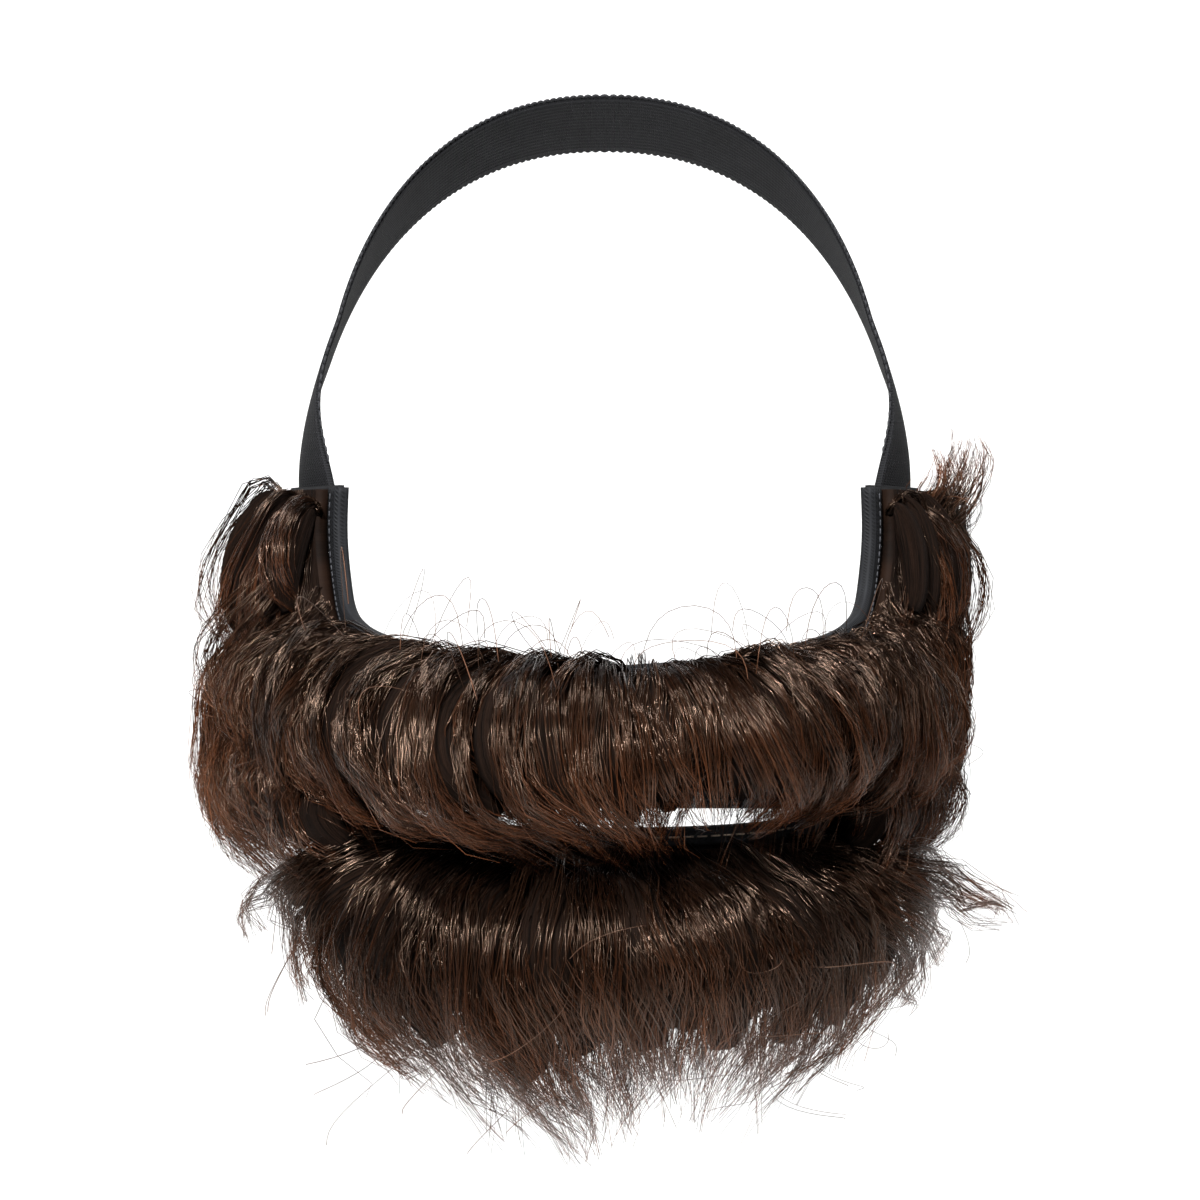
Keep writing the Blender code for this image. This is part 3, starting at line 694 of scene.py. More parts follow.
def tubes_along(name, lines, radii, tones, finish, slot, tube_sides=3):
    """One piece with a tube along each line. Tones are two numbers for each line."""
    count, rings = lines.shape[:2]
    tube = straight_tube(tube_sides, rings)
    corners = np.array([vert.co[:2] for vert in tube.verts])
    ring = np.array([round(vert.co.z * (rings - 1)) for vert in tube.verts])
    faces = [[vert.index for vert in face.verts] for face in tube.faces]
    tube.free()
    first, second = frames_along(lines)
    spots = lines[:, ring] + radii[:, ring, None] * (
        first[:, ring] * corners[None, :, :1] + second[:, ring] * corners[None, :, 1:]
    )
    sizes = np.tile([len(face) for face in faces], count)
    loops = np.concatenate([np.array(face) for face in faces])
    loops = (loops[None] + len(corners) * np.arange(count)[:, None]).ravel()
    mesh = bpy.data.meshes.new(name)
    mesh.vertices.add(count * len(corners))
    mesh.vertices.foreach_set("co", spots.astype(np.float32).ravel())
    mesh.loops.add(len(loops))
    mesh.loops.foreach_set("vertex_index", loops.astype(np.int32))
    mesh.polygons.add(len(sizes))
    mesh.polygons.foreach_set("loop_start", (np.cumsum(sizes) - sizes).astype(np.int32))
    mesh.update(calc_edges=True)
    tone = mesh.attributes.new("tone", "FLOAT_COLOR", "POINT")
    shares = np.broadcast_to(ring / (rings - 1), (count, len(corners)))
    values = np.stack(
        [np.repeat(tones[:, :1], len(corners), 1), shares, np.repeat(tones[:, 1:2], len(corners), 1),
         np.ones_like(shares)], axis=-1,
    )
    tone.data.foreach_set("color", values.astype(np.float32).ravel())
    print(name, count, "tubes,", count * (len(loops) // count - 2 * len(faces)), "triangles")
    show_piece(name, mesh, finish)


# %% [markdown]
# Both edges of the elastic carry a row of tiny loops, where the knitting thread turns back. Each
# loop is a half ring in the plane of the band.

# %% Loops on the elastic's edges
LOOP_PITCH = 0.0026
LOOP_HEIGHT = 0.0014
LOOP_SHARE = 0.42
LOOP_SINK = 0.0003
LOOP_RADIUS = 0.00035
LOOP_RINGS = 7

loop_turn = np.linspace(0, math.pi, LOOP_RINGS)
loop_lines = []
for edge_side in (0.0, 1.0):
    for k in range(int(STRAP_ARCH / LOOP_PITCH)):
        middle_u = (STRAP_OVERLAP + (k + 0.5) * LOOP_PITCH) / STRAP_RUN
        u = middle_u + LOOP_SHARE * LOOP_PITCH / STRAP_RUN * np.cos(loop_turn)
        reach = (np.sin(loop_turn) * LOOP_HEIGHT - LOOP_SINK) / STRAP_WIDTH
        v = edge_side + (reach if edge_side else -reach)
        loop_lines.append(strap_place(u, v))
loop_lines = np.array(loop_lines)
tubes_along(
    "elastic_edge_loops", loop_lines, np.full(loop_lines.shape[:2], LOOP_RADIUS),
    np.full((len(loop_lines), 2), 0.5), loop_finish, "elastic", tube_sides=5,
)

# %% [markdown]
# Hair seen closely is never one colour. Each fibre gets a tone of its own, and towards its thin end
# its colour is painted lighter and redder, as light shining through thin hair makes it look. The
# finish reads both from numbers stored on the mesh. Lighter fibres are also the smoothest, and the
# shine takes the hair's own red, so that light picks out single fibres in front of dark ones.

# %% Hair finishes
def colour_ramp(source, output, shader, socket, *stops):
    """Colours a socket by another node's output, through stops of a position and a colour."""
    ramp = add_node(source.id_data, "ShaderNodeValToRGB")
    elements = ramp.color_ramp.elements
    for element, (position, colour) in zip(elements, (stops[0], stops[-1])):
        element.position, element.color = position, colour
    for position, colour in stops[1:-1]:
        elements.new(position).color = colour
    link(source, output, ramp, "Fac")
    link(ramp, "Color", shader, socket)


def hair_finish(name, dark, middle, light, tip, roughness):
    """Hair whose colour goes from dark to light with its tone, and at its end to a lighter, redder tip
    colour: painted light shining through.
    """
    made, tree, shader = new_material(name, middle, roughness)
    tone = add_node(tree, "ShaderNodeAttribute", attribute_name="tone")
    parts = add_node(tree, "ShaderNodeSeparateColor")
    link(tone, "Color", parts, "Color")
    # The tip colour is painted light shining through the thin ends.
    mix = add_node(tree, "ShaderNodeMix", {"B": tip}, data_type="RGBA")
    colour_ramp(parts, "Red", mix, "A", (0.0, dark), (0.55, middle), (1.0, light))
    thin = add_node(tree, "ShaderNodeMath", {1: 3.0}, operation="POWER")
    link(parts, "Green", thin, 0)
    blend = add_node(tree, "ShaderNodeMath", operation="MULTIPLY")
    link(thin, "Value", blend, 0)
    link(parts, "Blue", blend, 1)
    link(blend, "Value", mix, "Factor")
    link(mix, "Result", shader, "Base Color")
    dull = add_node(tree, "ShaderNodeMath", {1: -0.22, 2: roughness + 0.18}, operation="MULTIPLY_ADD")
    link(parts, "Red", dull, 0)
    link(dull, "Value", shader, "Roughness")
    shader.inputs["Specular IOR Level"].default_value = 0.30
    shader.inputs["Specular Tint"].default_value = (1.0, 0.66, 0.48, 1)
    return made


# The last colour of each is the tip colour: painted light shining through thin ends.
strand_finish = hair_finish(
    "hair_strands", (0.0003, 0.00015, 0.0001, 1), (0.0013, 0.00065, 0.0004, 1),
    (0.010, 0.0050, 0.0030, 1), (0.140, 0.048, 0.020, 1), 0.13,
)
# Flyaways are painted lighter and redder than the strands, for light passing through them.
flyaway_finish = hair_finish(
    "hair_flyaways", (0.008, 0.004, 0.0025, 1), (0.020, 0.010, 0.006, 1), (0.05, 0.026, 0.016, 1),
    (0.10, 0.042, 0.022, 1), 0.42,
)


def mass_finish():
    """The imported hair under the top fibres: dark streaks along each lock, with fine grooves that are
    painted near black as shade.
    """
    made, tree, shader = new_material("hair_mass", (0.006, 0.003, 0.002, 1), 0.7)
    shader.inputs["Specular IOR Level"].default_value = 0.03
    uv = add_node(tree, "ShaderNodeUVMap", uv_map=UV_NAME)
    stretch = add_node(tree, "ShaderNodeMapping", {"Scale": (1.5, 0.05, 1.0)})
    link(uv, "UV", stretch, "Vector")
    fibres = add_node(tree, "ShaderNodeTexNoise", {"Scale": 1.0, "Detail": 6.0, "Roughness": 0.65})
    link(stretch, "Vector", fibres, "Vector")
    raise_by(fibres, "Fac", 1.0, 0.0012, shader)
    # Painted shade: the colour follows the grooves' noise, near black where they are deep and lighter on
    # the streaks between.
    colour_ramp(fibres, "Fac", shader, "Base Color",
                (0.35, (0.0005, 0.0003, 0.0002, 1)), (0.75, (0.011, 0.0052, 0.0030, 1)))
    return made


hair_mass_finish = mass_finish()

# %% [markdown]
# The hair is sewn on in four pieces: over the lip, under the mouth, and one on each cheek. Each has
# a patch of the backing that it covers, and a short table with a row for each lock: where it is
# rooted, which way it swings and bows, how far it hangs and stands off, and how wide it is.

# %% Patches and locks
HAIR_BED = 0.0040
CORE_SHARE = 0.80
LOCK_WIDTH = 0.018
LOCK_THICKNESS = 0.013
LIP_PATCH_ANGLE = 50.0
CHIN_PATCH_ANGLE = 56.0
CHEEK_FOOT_ANGLE = 71.0
CHEEK_FRONT_ANGLE = 54.0

MOUSTACHE_LOCKS = [
    # side, up, swing, drop, bow, lift, crest, tuck, width
    (-0.85, 0.90, -7.0, 1.00, -3.0, 0.75, 0.50, 0.30, 1.00),
    (-0.70, 0.92, -3.0, 1.08, -7.0, 0.92, 0.50, 0.30, 1.00),
    (-0.55, 0.94, 1.0, 1.14, -10.0, 1.02, 0.50, 0.30, 1.05),
    (-0.40, 0.95, 3.0, 1.18, -12.0, 1.08, 0.52, 0.30, 1.05),
    (-0.26, 0.95, 5.0, 1.24, -13.0, 1.10, 0.55, 0.30, 1.05),
    (-0.13, 0.95, 6.0, 1.27, -12.0, 1.08, 0.55, 0.30, 1.05),
    (-0.02, 0.95, 6.0, 1.28, -10.0, 1.02, 0.55, 0.30, 1.00),
    (0.08, 0.95, 5.0, 1.26, -7.0, 0.96, 0.55, 0.30, 0.95),
    (0.17, 0.95, 4.0, 1.17, -3.0, 0.88, 0.55, 0.30, 0.80),
    (0.27, 0.95, 8.0, 1.05, 2.0, 0.95, 0.55, 0.35, 0.85),
    (0.38, 0.93, 9.0, 1.02, 3.0, 1.08, 0.55, 0.35, 1.00),
    (0.49, 0.92, 8.0, 1.00, 3.0, 1.08, 0.55, 0.35, 1.00),
    (0.60, 0.92, 6.0, 1.02, 2.0, 0.95, 0.52, 0.35, 0.85),
    (0.74, 0.92, 1.0, 1.04, 3.0, 1.00, 0.50, 0.30, 0.90),
    (0.88, 0.90, 2.0, 1.04, 2.0, 0.85, 0.50, 0.30, 1.00),
]
LIP_GROUPS = [MOUSTACHE_LOCKS[:9], MOUSTACHE_LOCKS[9:13], MOUSTACHE_LOCKS[13:]]
CHIN_LOCKS = [
    # side, up, swing, drop, bow, lift, crest, tuck, width
    (-0.88, 0.95, -24.0, 0.32, -2.0, 1.00, 0.55, 1.10, 0.90),
    (-0.80, 0.90, -20.0, 0.58, -3.0, 1.00, 0.50, 0.80, 1.10),
    (-0.72, 0.10, -22.0, 0.60, -5.0, 0.55, 0.40, 0.50, 0.85),
    (-0.62, 0.95, -10.0, 0.82, -6.0, 1.05, 0.45, 0.55, 1.20),
    (-0.46, 0.96, -2.0, 0.96, -8.0, 1.10, 0.45, 0.50, 1.30),
    (-0.28, 0.96, 8.0, 1.12, -8.0, 1.10, 0.45, 0.45, 1.30),
    (-0.09, 0.96, 5.0, 0.98, -5.0, 1.10, 0.45, 0.50, 1.30),
    (0.10, 0.96, 5.0, 0.95, -2.0, 1.10, 0.45, 0.50, 1.30),
    (0.29, 0.96, 8.0, 0.97, 0.0, 1.10, 0.45, 0.50, 1.30),
    (0.48, 0.96, 11.0, 0.97, 2.0, 1.10, 0.45, 0.55, 1.30),
    (0.65, 0.95, 16.0, 0.90, 2.0, 1.05, 0.50, 0.65, 1.25),
    (0.79, 0.90, 19.0, 0.70, 2.0, 1.05, 0.50, 0.90, 1.20),
    (0.88, 0.95, 24.0, 0.34, 0.0, 1.10, 0.60, 1.30, 0.95),
]
LEFT_CHEEK_LOCKS = [
    # side, up, swing, drop, bow, lift, crest, tuck, width
    (0.20, 0.55, 1.0, 0.46, 2.0, 0.42, 0.70, 0.70, 1.10),
    (0.22, 0.66, 5.0, 0.68, 3.0, 0.66, 0.75, 0.70, 1.25),
    (0.28, 0.82, 8.0, 0.89, 4.0, 0.90, 0.84, 0.75, 1.35),
    (0.42, 0.95, 9.0, 1.01, 4.0, 1.10, 0.90, 0.75, 1.40),
    (0.62, 0.95, 6.0, 0.98, 2.0, 1.05, 0.88, 0.70, 1.30),
    (0.85, 0.93, 2.0, 0.86, 1.0, 0.60, 0.80, 0.60, 1.20),
    (0.65, 0.45, 4.0, 0.45, 1.0, 0.70, 0.70, 0.60, 1.30),
]
RIGHT_CHEEK_LOCKS = [
    # side, up, swing, drop, bow, lift, crest, tuck, width
    (0.22, 0.55, 1.0, 0.46, 2.0, 0.55, 0.70, 1.00, 1.10),
    (0.24, 0.66, 5.0, 0.68, 2.0, 0.85, 0.75, 1.10, 1.20),
    (0.30, 0.80, 7.0, 0.85, 2.0, 1.00, 0.85, 1.70, 1.25),
    (0.42, 0.94, 9.0, 1.00, 2.0, 1.00, 0.90, 1.40, 1.30),
    (0.62, 0.94, 6.0, 0.92, 1.0, 0.90, 0.90, 1.00, 1.20),
    (0.85, 0.92, 2.0, 0.84, 1.0, 0.50, 0.80, 0.80, 1.15),
    (0.65, 0.45, 4.0, 0.45, 1.0, 0.70, 0.70, 0.80, 1.20),
    (0.66, 0.84, 4.0, -0.28, 0.0, 0.30, 0.60, 1.60, 0.50),
]


def moustache_place(side, up):
    """A place of the lip's patch: from the mouth binding up to the edge tape."""
    angle = side * LIP_PATCH_ANGLE
    bottom = mouth_half_height(angle) + BINDING_WIDTH + 2 * GAP - MOUTH_DROP
    top = top_rise(angle) - TAPE_WIDTH - 2 * GAP
    return angle, bottom + (top - bottom) * up


def chin_place(side, up):
    """A place of the chin's patch: from the backing's lower edge up to the mouth binding."""
    angle = side * CHIN_PATCH_ANGLE
    bottom = lower_rise(angle)
    top = -mouth_half_height(angle) - BINDING_WIDTH - 2 * GAP - MOUTH_DROP
    return angle, bottom + (top - bottom) * up


def tape_inner_edge():
    """The rises and angles of the line on the right cheek where the edge tape's flap ends."""
    spot, ahead, behind = beside(top_place, np.linspace(0.3, 0.99, 21), TOP_EDGE_STEP)
    turn, climb = way_into_cloth(spot, ahead, behind)
    clear = TAPE_WIDTH + 3 * GAP
    return spot[1] + climb * clear, spot[0] + turn * clear


TAPE_INNER_EDGE = tape_inner_edge()


def right_cheek_place(side, up):
    """A place of the right cheek: from beside the lip back to the ear, and up the sideburn."""
    bottom = lower_rise(CHEEK_FOOT_ANGLE)
    rise = bottom + (SIDEBURN_RISE - 2 * GAP - bottom) * up
    mouth_end = MOUTH_HALF_ANGLE + degrees_for(BINDING_WIDTH + 5 * GAP, MOUTH_HALF_ANGLE, rise)
    over_mouth = (rise + MOUTH_DROP - MOUTH_HEIGHT / 2) / BINDING_WIDTH - 1
    front = mouth_end + (CHEEK_FRONT_ANGLE - mouth_end) * ease(over_mouth)
    front = np.maximum(front, np.interp(rise, *TAPE_INNER_EDGE))
    back = back_edge(rise) - degrees_for(GAP, back_edge(rise), rise)
    return front + (back - front) * side, rise


def left_cheek_place(side, up):
    """The same place on the left cheek."""
    angle, rise = right_cheek_place(side, up)
    return -angle, rise


HAIR_PIECES = [
    # node, locks, place, way, fullness, length, loft, sag, core's first side, crest and hang
    ("moustache_hair", MOUSTACHE_LOCKS, moustache_place, 1, 0.013, 0.031, 0.009, 1.0, -1.0, 0.7, 0.0),
    ("chin_hair", CHIN_LOCKS, chin_place, 1, 0.018, 0.066, 0.001, 1.0, -1.0, 0.5, 0.020),
    ("cheek_hair_left", LEFT_CHEEK_LOCKS, left_cheek_place, -1, 0.027, 0.100, 0.0, 1.7, 0.0, 0.85, 0.0),
    ("cheek_hair_right", RIGHT_CHEEK_LOCKS, right_cheek_place, 1, 0.010, 0.100, 0.0, 1.2, 0.0, 0.85, 0.0),
]
print(sum(len(row[1]) for row in HAIR_PIECES), "locks")

# %% [markdown]
# A lock is a path with a width and a thickness. It rises from its root, stands furthest off the
# face at its crest, and is tucked back or flipped out at its tip. The same path serves the mass of
# the lock and every fibre in it, so both are worked out here once at even stations.

# %% Paths of the locks
STATIONS = 40
OVERSHOOT = 1.15
RUFFLE = [
    # side, up, swing, drop, bow, lift, crest, tuck, width
    0.008, 0.0, 1.2, 0.03, 1.6, 0.08, 0.03, 0.05, 0.06,
]


def half_width_of(row, share):
    """Half a lock's width: slim at the root, full in the middle and nearly a point at the tip."""
    share = np.clip(share, 0.0, 1.0)
    rising = 0.45 + 0.55 * np.sin(math.pi / 2 * share / 0.65)
    falling = 1 - 0.86 * (np.maximum(share - 0.65, 0.0) / 0.35) ** 1.8
    return LOCK_WIDTH / 2 * row[8] * np.where(share < 0.65, rising, falling)


def half_thickness_of(row, share):
    """Half a lock's thickness: flat at the root and full from its crest on."""
    flat = 0.35 + 0.65 * ease(share / row[6])
    return half_width_of(row, share) / row[8] * flat * LOCK_THICKNESS / LOCK_WIDTH


def lock_path(row, piece, share):
    """The middle line of a lock."""
    _, _, place, way, fullness, length, loft, sag = piece[:8]
    side, up, swing, drop, bow, lift, crest, tuck, _ = row
    root_angle, root_rise = place(side, up)
    angle = root_angle + way * (swing * ease(share) + bow * np.sin(math.pi * np.minimum(share, 1.0)))
    rise = root_rise - drop * length * share**1.25
    rise = rise + loft * np.sin(math.pi * np.minimum(share / crest, 1.0))
    falling = tuck + (1 - tuck) * ease((1 - share) / (1 - crest))
    puff = np.where(share < crest, ease(share / crest) ** sag, falling)
    floor = BACKING_WALL + TAPE_WALL + 2.5 * GAP + half_thickness_of(row, share)
    return shell(angle, rise, floor + puff * lift * fullness)


def lock_guide(row, piece):
    """A lock's stations: middle, way across, way out, half width and half thickness."""
    share = np.linspace(0.0, OVERSHOOT, STATIONS)
    centre = lock_path(row, piece, share)
    ahead = unit(lock_path(row, piece, share + 0.01) - centre)
    across = np.cross([0.0, 0.0, 1.0], centre[0] * [1.0, 1.0, 0.0] - [0.0, FACE_DEPTH, 0.0])
    ways = []
    for k in range(STATIONS):
        across = unit(across - ahead[k] * (across @ ahead[k]))
        ways.append(across)
    ways = np.array(ways)
    return {
        "centre": centre,
        "across": ways,
        "out": np.cross(ahead, ways),
        "half_width": half_width_of(row, share)[:, None],
        "half_thickness": half_thickness_of(row, share)[:, None],
        "row": row,
    }


def read_guide(guide, key, share):
    """A guide's value at any share of the lock's length."""
    at = np.clip(share / OVERSHOOT, 0.0, 1.0) * (STATIONS - 1)
    low = np.minimum(at.astype(int), STATIONS - 2)
    part = (at - low)[..., None]
    return guide[key][low] * (1 - part) + guide[key][low + 1] * part


def rows_between(rows, extra):
    """The rows of a table with extra rows blended in between each two."""
    rows = np.array(rows)
    at = np.linspace(0, len(rows) - 1, (len(rows) - 1) * (extra + 1) + 1)
    low = np.minimum(at.astype(int), len(rows) - 2)
    part = (at - low)[:, None]
    return rows[low] * (1 - part) + rows[low + 1] * part


def mirrored(rows):
    """The rows of the lip or chin turned to the other side."""
    return np.array(rows) * [-1, 1, -1, 1, -1, 1, 1, 1, 1]


def ruffled(rows, dice):
    """The rows with each lock a little out of line with its neighbours."""
    return np.array(rows) + dice.normal(0, 1, (len(rows), 9)) * RUFFLE


guides = {piece[0]: [lock_guide(row, piece) for row in piece[1]] for piece in HAIR_PIECES}

# %% [markdown]
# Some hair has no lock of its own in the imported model: the hair at the corners of the mouth, the
# tufts, flips and thin tips, and what rolls over the top of each sideburn. Their tables have the
# same columns. A last table lists every group of fibres, with how many fibres a lock gets.

# %% Rows of finer hair
pieces_by_node = {piece[0]: piece for piece in HAIR_PIECES}
CORNER_LOCKS = [
    # side, up, swing, drop, bow, lift, crest, tuck, width
    (-0.22, 0.50, -1.0, 0.30, 1.0, 0.40, 0.50, 0.40, 0.90),
    (-0.16, 0.58, 1.0, 0.38, 2.0, 0.50, 0.55, 0.45, 1.00),
    (-0.08, 0.66, 3.0, 0.46, 3.0, 0.60, 0.55, 0.50, 1.10),
    (0.02, 0.76, 5.0, 0.54, 3.0, 0.65, 0.60, 0.55, 1.10),
    (0.12, 0.88, 6.0, 0.58, 3.0, 0.60, 0.60, 0.60, 1.10),
]
BRIDGE_LOCKS = [
    # side, up, swing, drop, bow, lift, crest, tuck, width
    (0.96, 0.88, 4.0, 1.10, 1.0, 0.80, 0.50, 0.40, 1.05),
    (1.08, 0.92, 5.0, 1.20, 1.0, 0.90, 0.50, 0.50, 1.10),
    (1.18, 1.00, 6.0, 1.30, 1.0, 1.00, 0.50, 0.60, 1.10),
]
JAW_LOCKS = [
    # side, up, swing, drop, bow, lift, crest, tuck, width
    (0.00, 0.30, -4.0, 0.32, 2.0, 0.60, 0.60, 0.60, 1.05),
    (0.16, 0.34, 0.0, 0.36, 2.0, 0.70, 0.60, 0.60, 1.10),
    (0.34, 0.38, 2.0, 0.40, 2.0, 0.80, 0.60, 0.60, 1.15),
    (0.54, 0.40, 3.0, 0.40, 2.0, 0.80, 0.60, 0.60, 1.15),
]
LIP_END_TUFT = [
    # side, up, swing, drop, bow, lift, crest, tuck, width
    (-0.62, 1.02, -24.0, 0.80, -4.0, 0.90, 0.50, 0.40, 0.90),
    (-0.74, 1.00, -26.0, 0.95, -3.0, 0.95, 0.50, 0.40, 0.90),
    (-0.86, 1.00, -24.0, 1.10, -2.0, 0.90, 0.50, 0.40, 0.90),
]
LIP_UNDER_LOCKS = [
    # side, up, swing, drop, bow, lift, crest, tuck, width
    (-0.46, 0.45, 2.0, 0.78, -2.0, 0.50, 0.50, 0.50, 1.10),
    (-0.32, 0.45, 2.0, 0.80, -2.0, 0.50, 0.50, 0.50, 1.10),
    (-0.18, 0.45, 2.0, 0.80, -2.0, 0.50, 0.50, 0.50, 1.10),
    (-0.04, 0.45, 2.0, 0.80, -2.0, 0.50, 0.50, 0.50, 1.10),
    (0.08, 0.45, 1.0, 0.78, -1.0, 0.50, 0.50, 0.50, 1.00),
]
FLIP_LOCKS = [
    # side, up, swing, drop, bow, lift, crest, tuck, width
    (-0.90, 0.85, -24.0, 0.34, -2.0, 1.10, 0.55, 1.50, 0.80),
    (-0.80, 0.60, -26.0, 0.50, -3.0, 1.00, 0.55, 1.40, 0.85),
    (0.90, 0.90, 27.0, 0.32, 0.0, 1.30, 0.60, 1.85, 0.80),
    (0.94, 0.80, 30.0, 0.26, 0.0, 1.35, 0.60, 1.95, 0.70),
    (0.88, 0.70, 28.0, 0.40, 0.0, 1.20, 0.60, 1.70, 0.80),
    (0.84, 0.60, 24.0, 0.50, 0.0, 1.10, 0.55, 1.40, 0.85),
]
TIP_LOCKS = [
    # side, up, swing, drop, bow, lift, crest, tuck, width
    (-0.50, 0.55, 2.0, 0.82, -6.0, 1.00, 0.45, 0.45, 0.80),
    (-0.30, 0.55, 9.0, 0.86, -8.0, 1.00, 0.45, 0.40, 0.90),
    (-0.20, 0.50, 9.0, 0.96, -8.0, 1.00, 0.45, 0.40, 0.70),
    (-0.05, 0.55, 4.0, 0.80, -4.0, 1.00, 0.45, 0.45, 1.00),
    (0.15, 0.55, 5.0, 0.74, 0.0, 1.00, 0.45, 0.45, 1.10),
    (0.34, 0.55, 7.0, 0.74, 2.0, 1.00, 0.45, 0.45, 1.10),
    (0.54, 0.55, 11.0, 0.76, 2.0, 1.00, 0.45, 0.50, 1.00),
]
SIDEBURN_TUFT_LOCKS = [
    # side, up, swing, drop, bow, lift, crest, tuck, width
    (0.40, 0.84, 3.0, -0.26, 0.0, 0.30, 0.60, 1.30, 0.60),
    (0.56, 0.84, 4.0, -0.34, 0.0, 0.40, 0.60, 1.50, 0.65),
    (0.72, 0.85, 4.0, -0.30, 0.0, 0.50, 0.60, 1.60, 0.65),
    (0.88, 0.84, 3.0, -0.24, 0.0, 0.50, 0.60, 1.60, 0.55),
]
SIDEBURN_TOP_LOCKS = [
    # side, up, swing, drop, bow, lift, crest, tuck, width
    (0.00, 0.93, -1.0, 0.34, 1.0, 0.25, 0.70, 0.80, 0.50),
    (0.10, 0.95, 1.0, 0.38, 1.0, 0.38, 0.70, 0.80, 0.65),
    (0.28, 0.96, 4.0, 0.42, 1.0, 0.50, 0.70, 0.80, 0.80),
    (0.50, 0.97, 3.0, 0.46, 1.0, 0.55, 0.70, 0.80, 0.90),
    (0.72, 0.97, 2.0, 0.46, 1.0, 0.50, 0.70, 0.80, 0.85),
    (0.92, 0.95, 1.0, 0.40, 1.0, 0.30, 0.70, 0.80, 0.65),
]
for side_name, top_fullness, jaw_fullness in (("left", 0.015, 0.022), ("right", 0.006, 0.014)):
    cheek = list(pieces_by_node["cheek_hair_" + side_name])
    cheek[4], cheek[6] = top_fullness, 0.008
    pieces_by_node["sideburn_top_" + side_name] = tuple(cheek)
    cheek[4], cheek[6] = jaw_fullness, 0.0
    pieces_by_node["jaw_" + side_name] = tuple(cheek)
lip_left, lip_middle, lip_right = (rows_between(group, 2) for group in LIP_GROUPS)
MASS_ROWS = {
    "cheek_hair_left": [("sideburn_top_left", SIDEBURN_TOP_LOCKS), ("jaw_left", JAW_LOCKS)],
    "cheek_hair_right": [("sideburn_top_right", SIDEBURN_TOP_LOCKS), ("jaw_right", JAW_LOCKS)],
    "moustache_hair": [("moustache_hair", LIP_END_TUFT)],
}
FIBRES = [
    # piece name, kind of piece, rows, fibres a row, wisps a row, rings
    ("moustache_fibres_left", "moustache_hair", lip_left, 97, 6, 9),
    ("moustache_fibres_middle", "moustache_hair", lip_middle, 97, 6, 9),
    ("moustache_fibres_right", "moustache_hair", lip_right, 97, 6, 9),
    ("moustache_end_tuft", "moustache_hair", LIP_END_TUFT, 60, 4, 9),
    ("moustache_under_fibres", "moustache_hair", LIP_UNDER_LOCKS, 64, 7, 8),
    ("chin_fibres_left", "chin_hair", rows_between(CHIN_LOCKS[:8], 2), 70, 6, 9),
    ("chin_fibres_right", "chin_hair", rows_between(CHIN_LOCKS[7:], 2), 70, 6, 9),
    ("chin_tips", "chin_hair", rows_between(TIP_LOCKS, 1), 84, 4, 8),
    ("chin_flips", "chin_hair", FLIP_LOCKS, 84, 3, 8),
    ("cheek_fibres_left", "cheek_hair_left", rows_between(LEFT_CHEEK_LOCKS, 1), 96, 7, 11),
    ("cheek_fibres_right", "cheek_hair_right", rows_between(RIGHT_CHEEK_LOCKS[:7], 1), 86, 7, 11),
    ("corner_fibres_left", "cheek_hair_left", rows_between(CORNER_LOCKS, 1), 45, 4, 8),
    ("corner_fibres_right", "cheek_hair_right", rows_between(CORNER_LOCKS, 1), 45, 4, 8),
    ("jaw_fibres_left", "jaw_left", rows_between(JAW_LOCKS, 1), 48, 4, 8),
    ("jaw_fibres_right", "jaw_right", rows_between(JAW_LOCKS, 1), 52, 4, 8),
    ("bridge_fibres_right", "moustache_hair", rows_between(BRIDGE_LOCKS, 1), 55, 4, 8),
    ("bridge_fibres_left", "moustache_hair", mirrored(rows_between(BRIDGE_LOCKS, 1)), 55, 4, 8),
    ("sideburn_tuft", "cheek_hair_right", SIDEBURN_TUFT_LOCKS, 80, 5, 8),
    ("sideburn_top_left", "sideburn_top_left", SIDEBURN_TOP_LOCKS, 62, 4, 8),
    ("sideburn_top_right", "sideburn_top_right", SIDEBURN_TOP_LOCKS, 62, 4, 8),
]
print(sum(len(rows) * count for _, _, rows, count, _, _ in FIBRES), "fibres in locks")

# %% [markdown]
# Under the top fibres, hair packs into a solid mass: a bed on the cloth and a body inside each
# lock. The bed is a flat sheet with one extrusion, its lower face laid on the cloth and its upper
# face raised. Each body is the straight tube again, carried along its lock, with grooves.

# %% The mass of the hair
MASS_RINGS = 24
MASS_SIDES = 20
BED_SHARE = 0.86
MASS_REACH = 0.78
BED_COLUMNS = 40
BED_ROWS = 16
BED_SHEET_MM = (120, 50)


def swell(share, crest):
    """How far a bed is raised: from nothing at its top to all at its crest and back again."""
    return np.where(share < crest, ease(share / crest), ease((1 - share) / (1 - crest)))


def core_place(piece, u, v, raised):
    """Points of the bed: u across the patch, v down it, on its lower or its raised face."""
    place, fullness = piece[2], piece[4]
    first_side, crest, hang = piece[8:11]
    side = first_side + (1 - first_side) * u
    edge_rise = place(side, 0.0)[1] + 0 * u
    top_of_patch = place(side, 1.0)[1] + 0 * u
    ragged = hang * (0.92 + 0.20 * np.sin(41 * u) * np.sin(17 * u + 1))
    rise = top_of_patch - (top_of_patch - edge_rise + ragged) * v
    angle = place(side, np.maximum((rise - edge_rise) / (top_of_patch - edge_rise), 0.0))[0]
    drop_back = skin(0.0, rise)[..., 1] - skin(0.0, edge_rise)[..., 1]
    off = np.where(rise < edge_rise, np.maximum(drop_back, 0.0), 0.0)
    middle = 1 - (2 * u - 1) ** 4
    thick = HAIR_BED + CORE_SHARE * (fullness + LOCK_THICKNESS / 2) * middle * swell(v, crest)
    near = BACKING_WALL + 1.5 * GAP
    return shell(angle, rise, near + off + thick * raised * BED_SHARE)


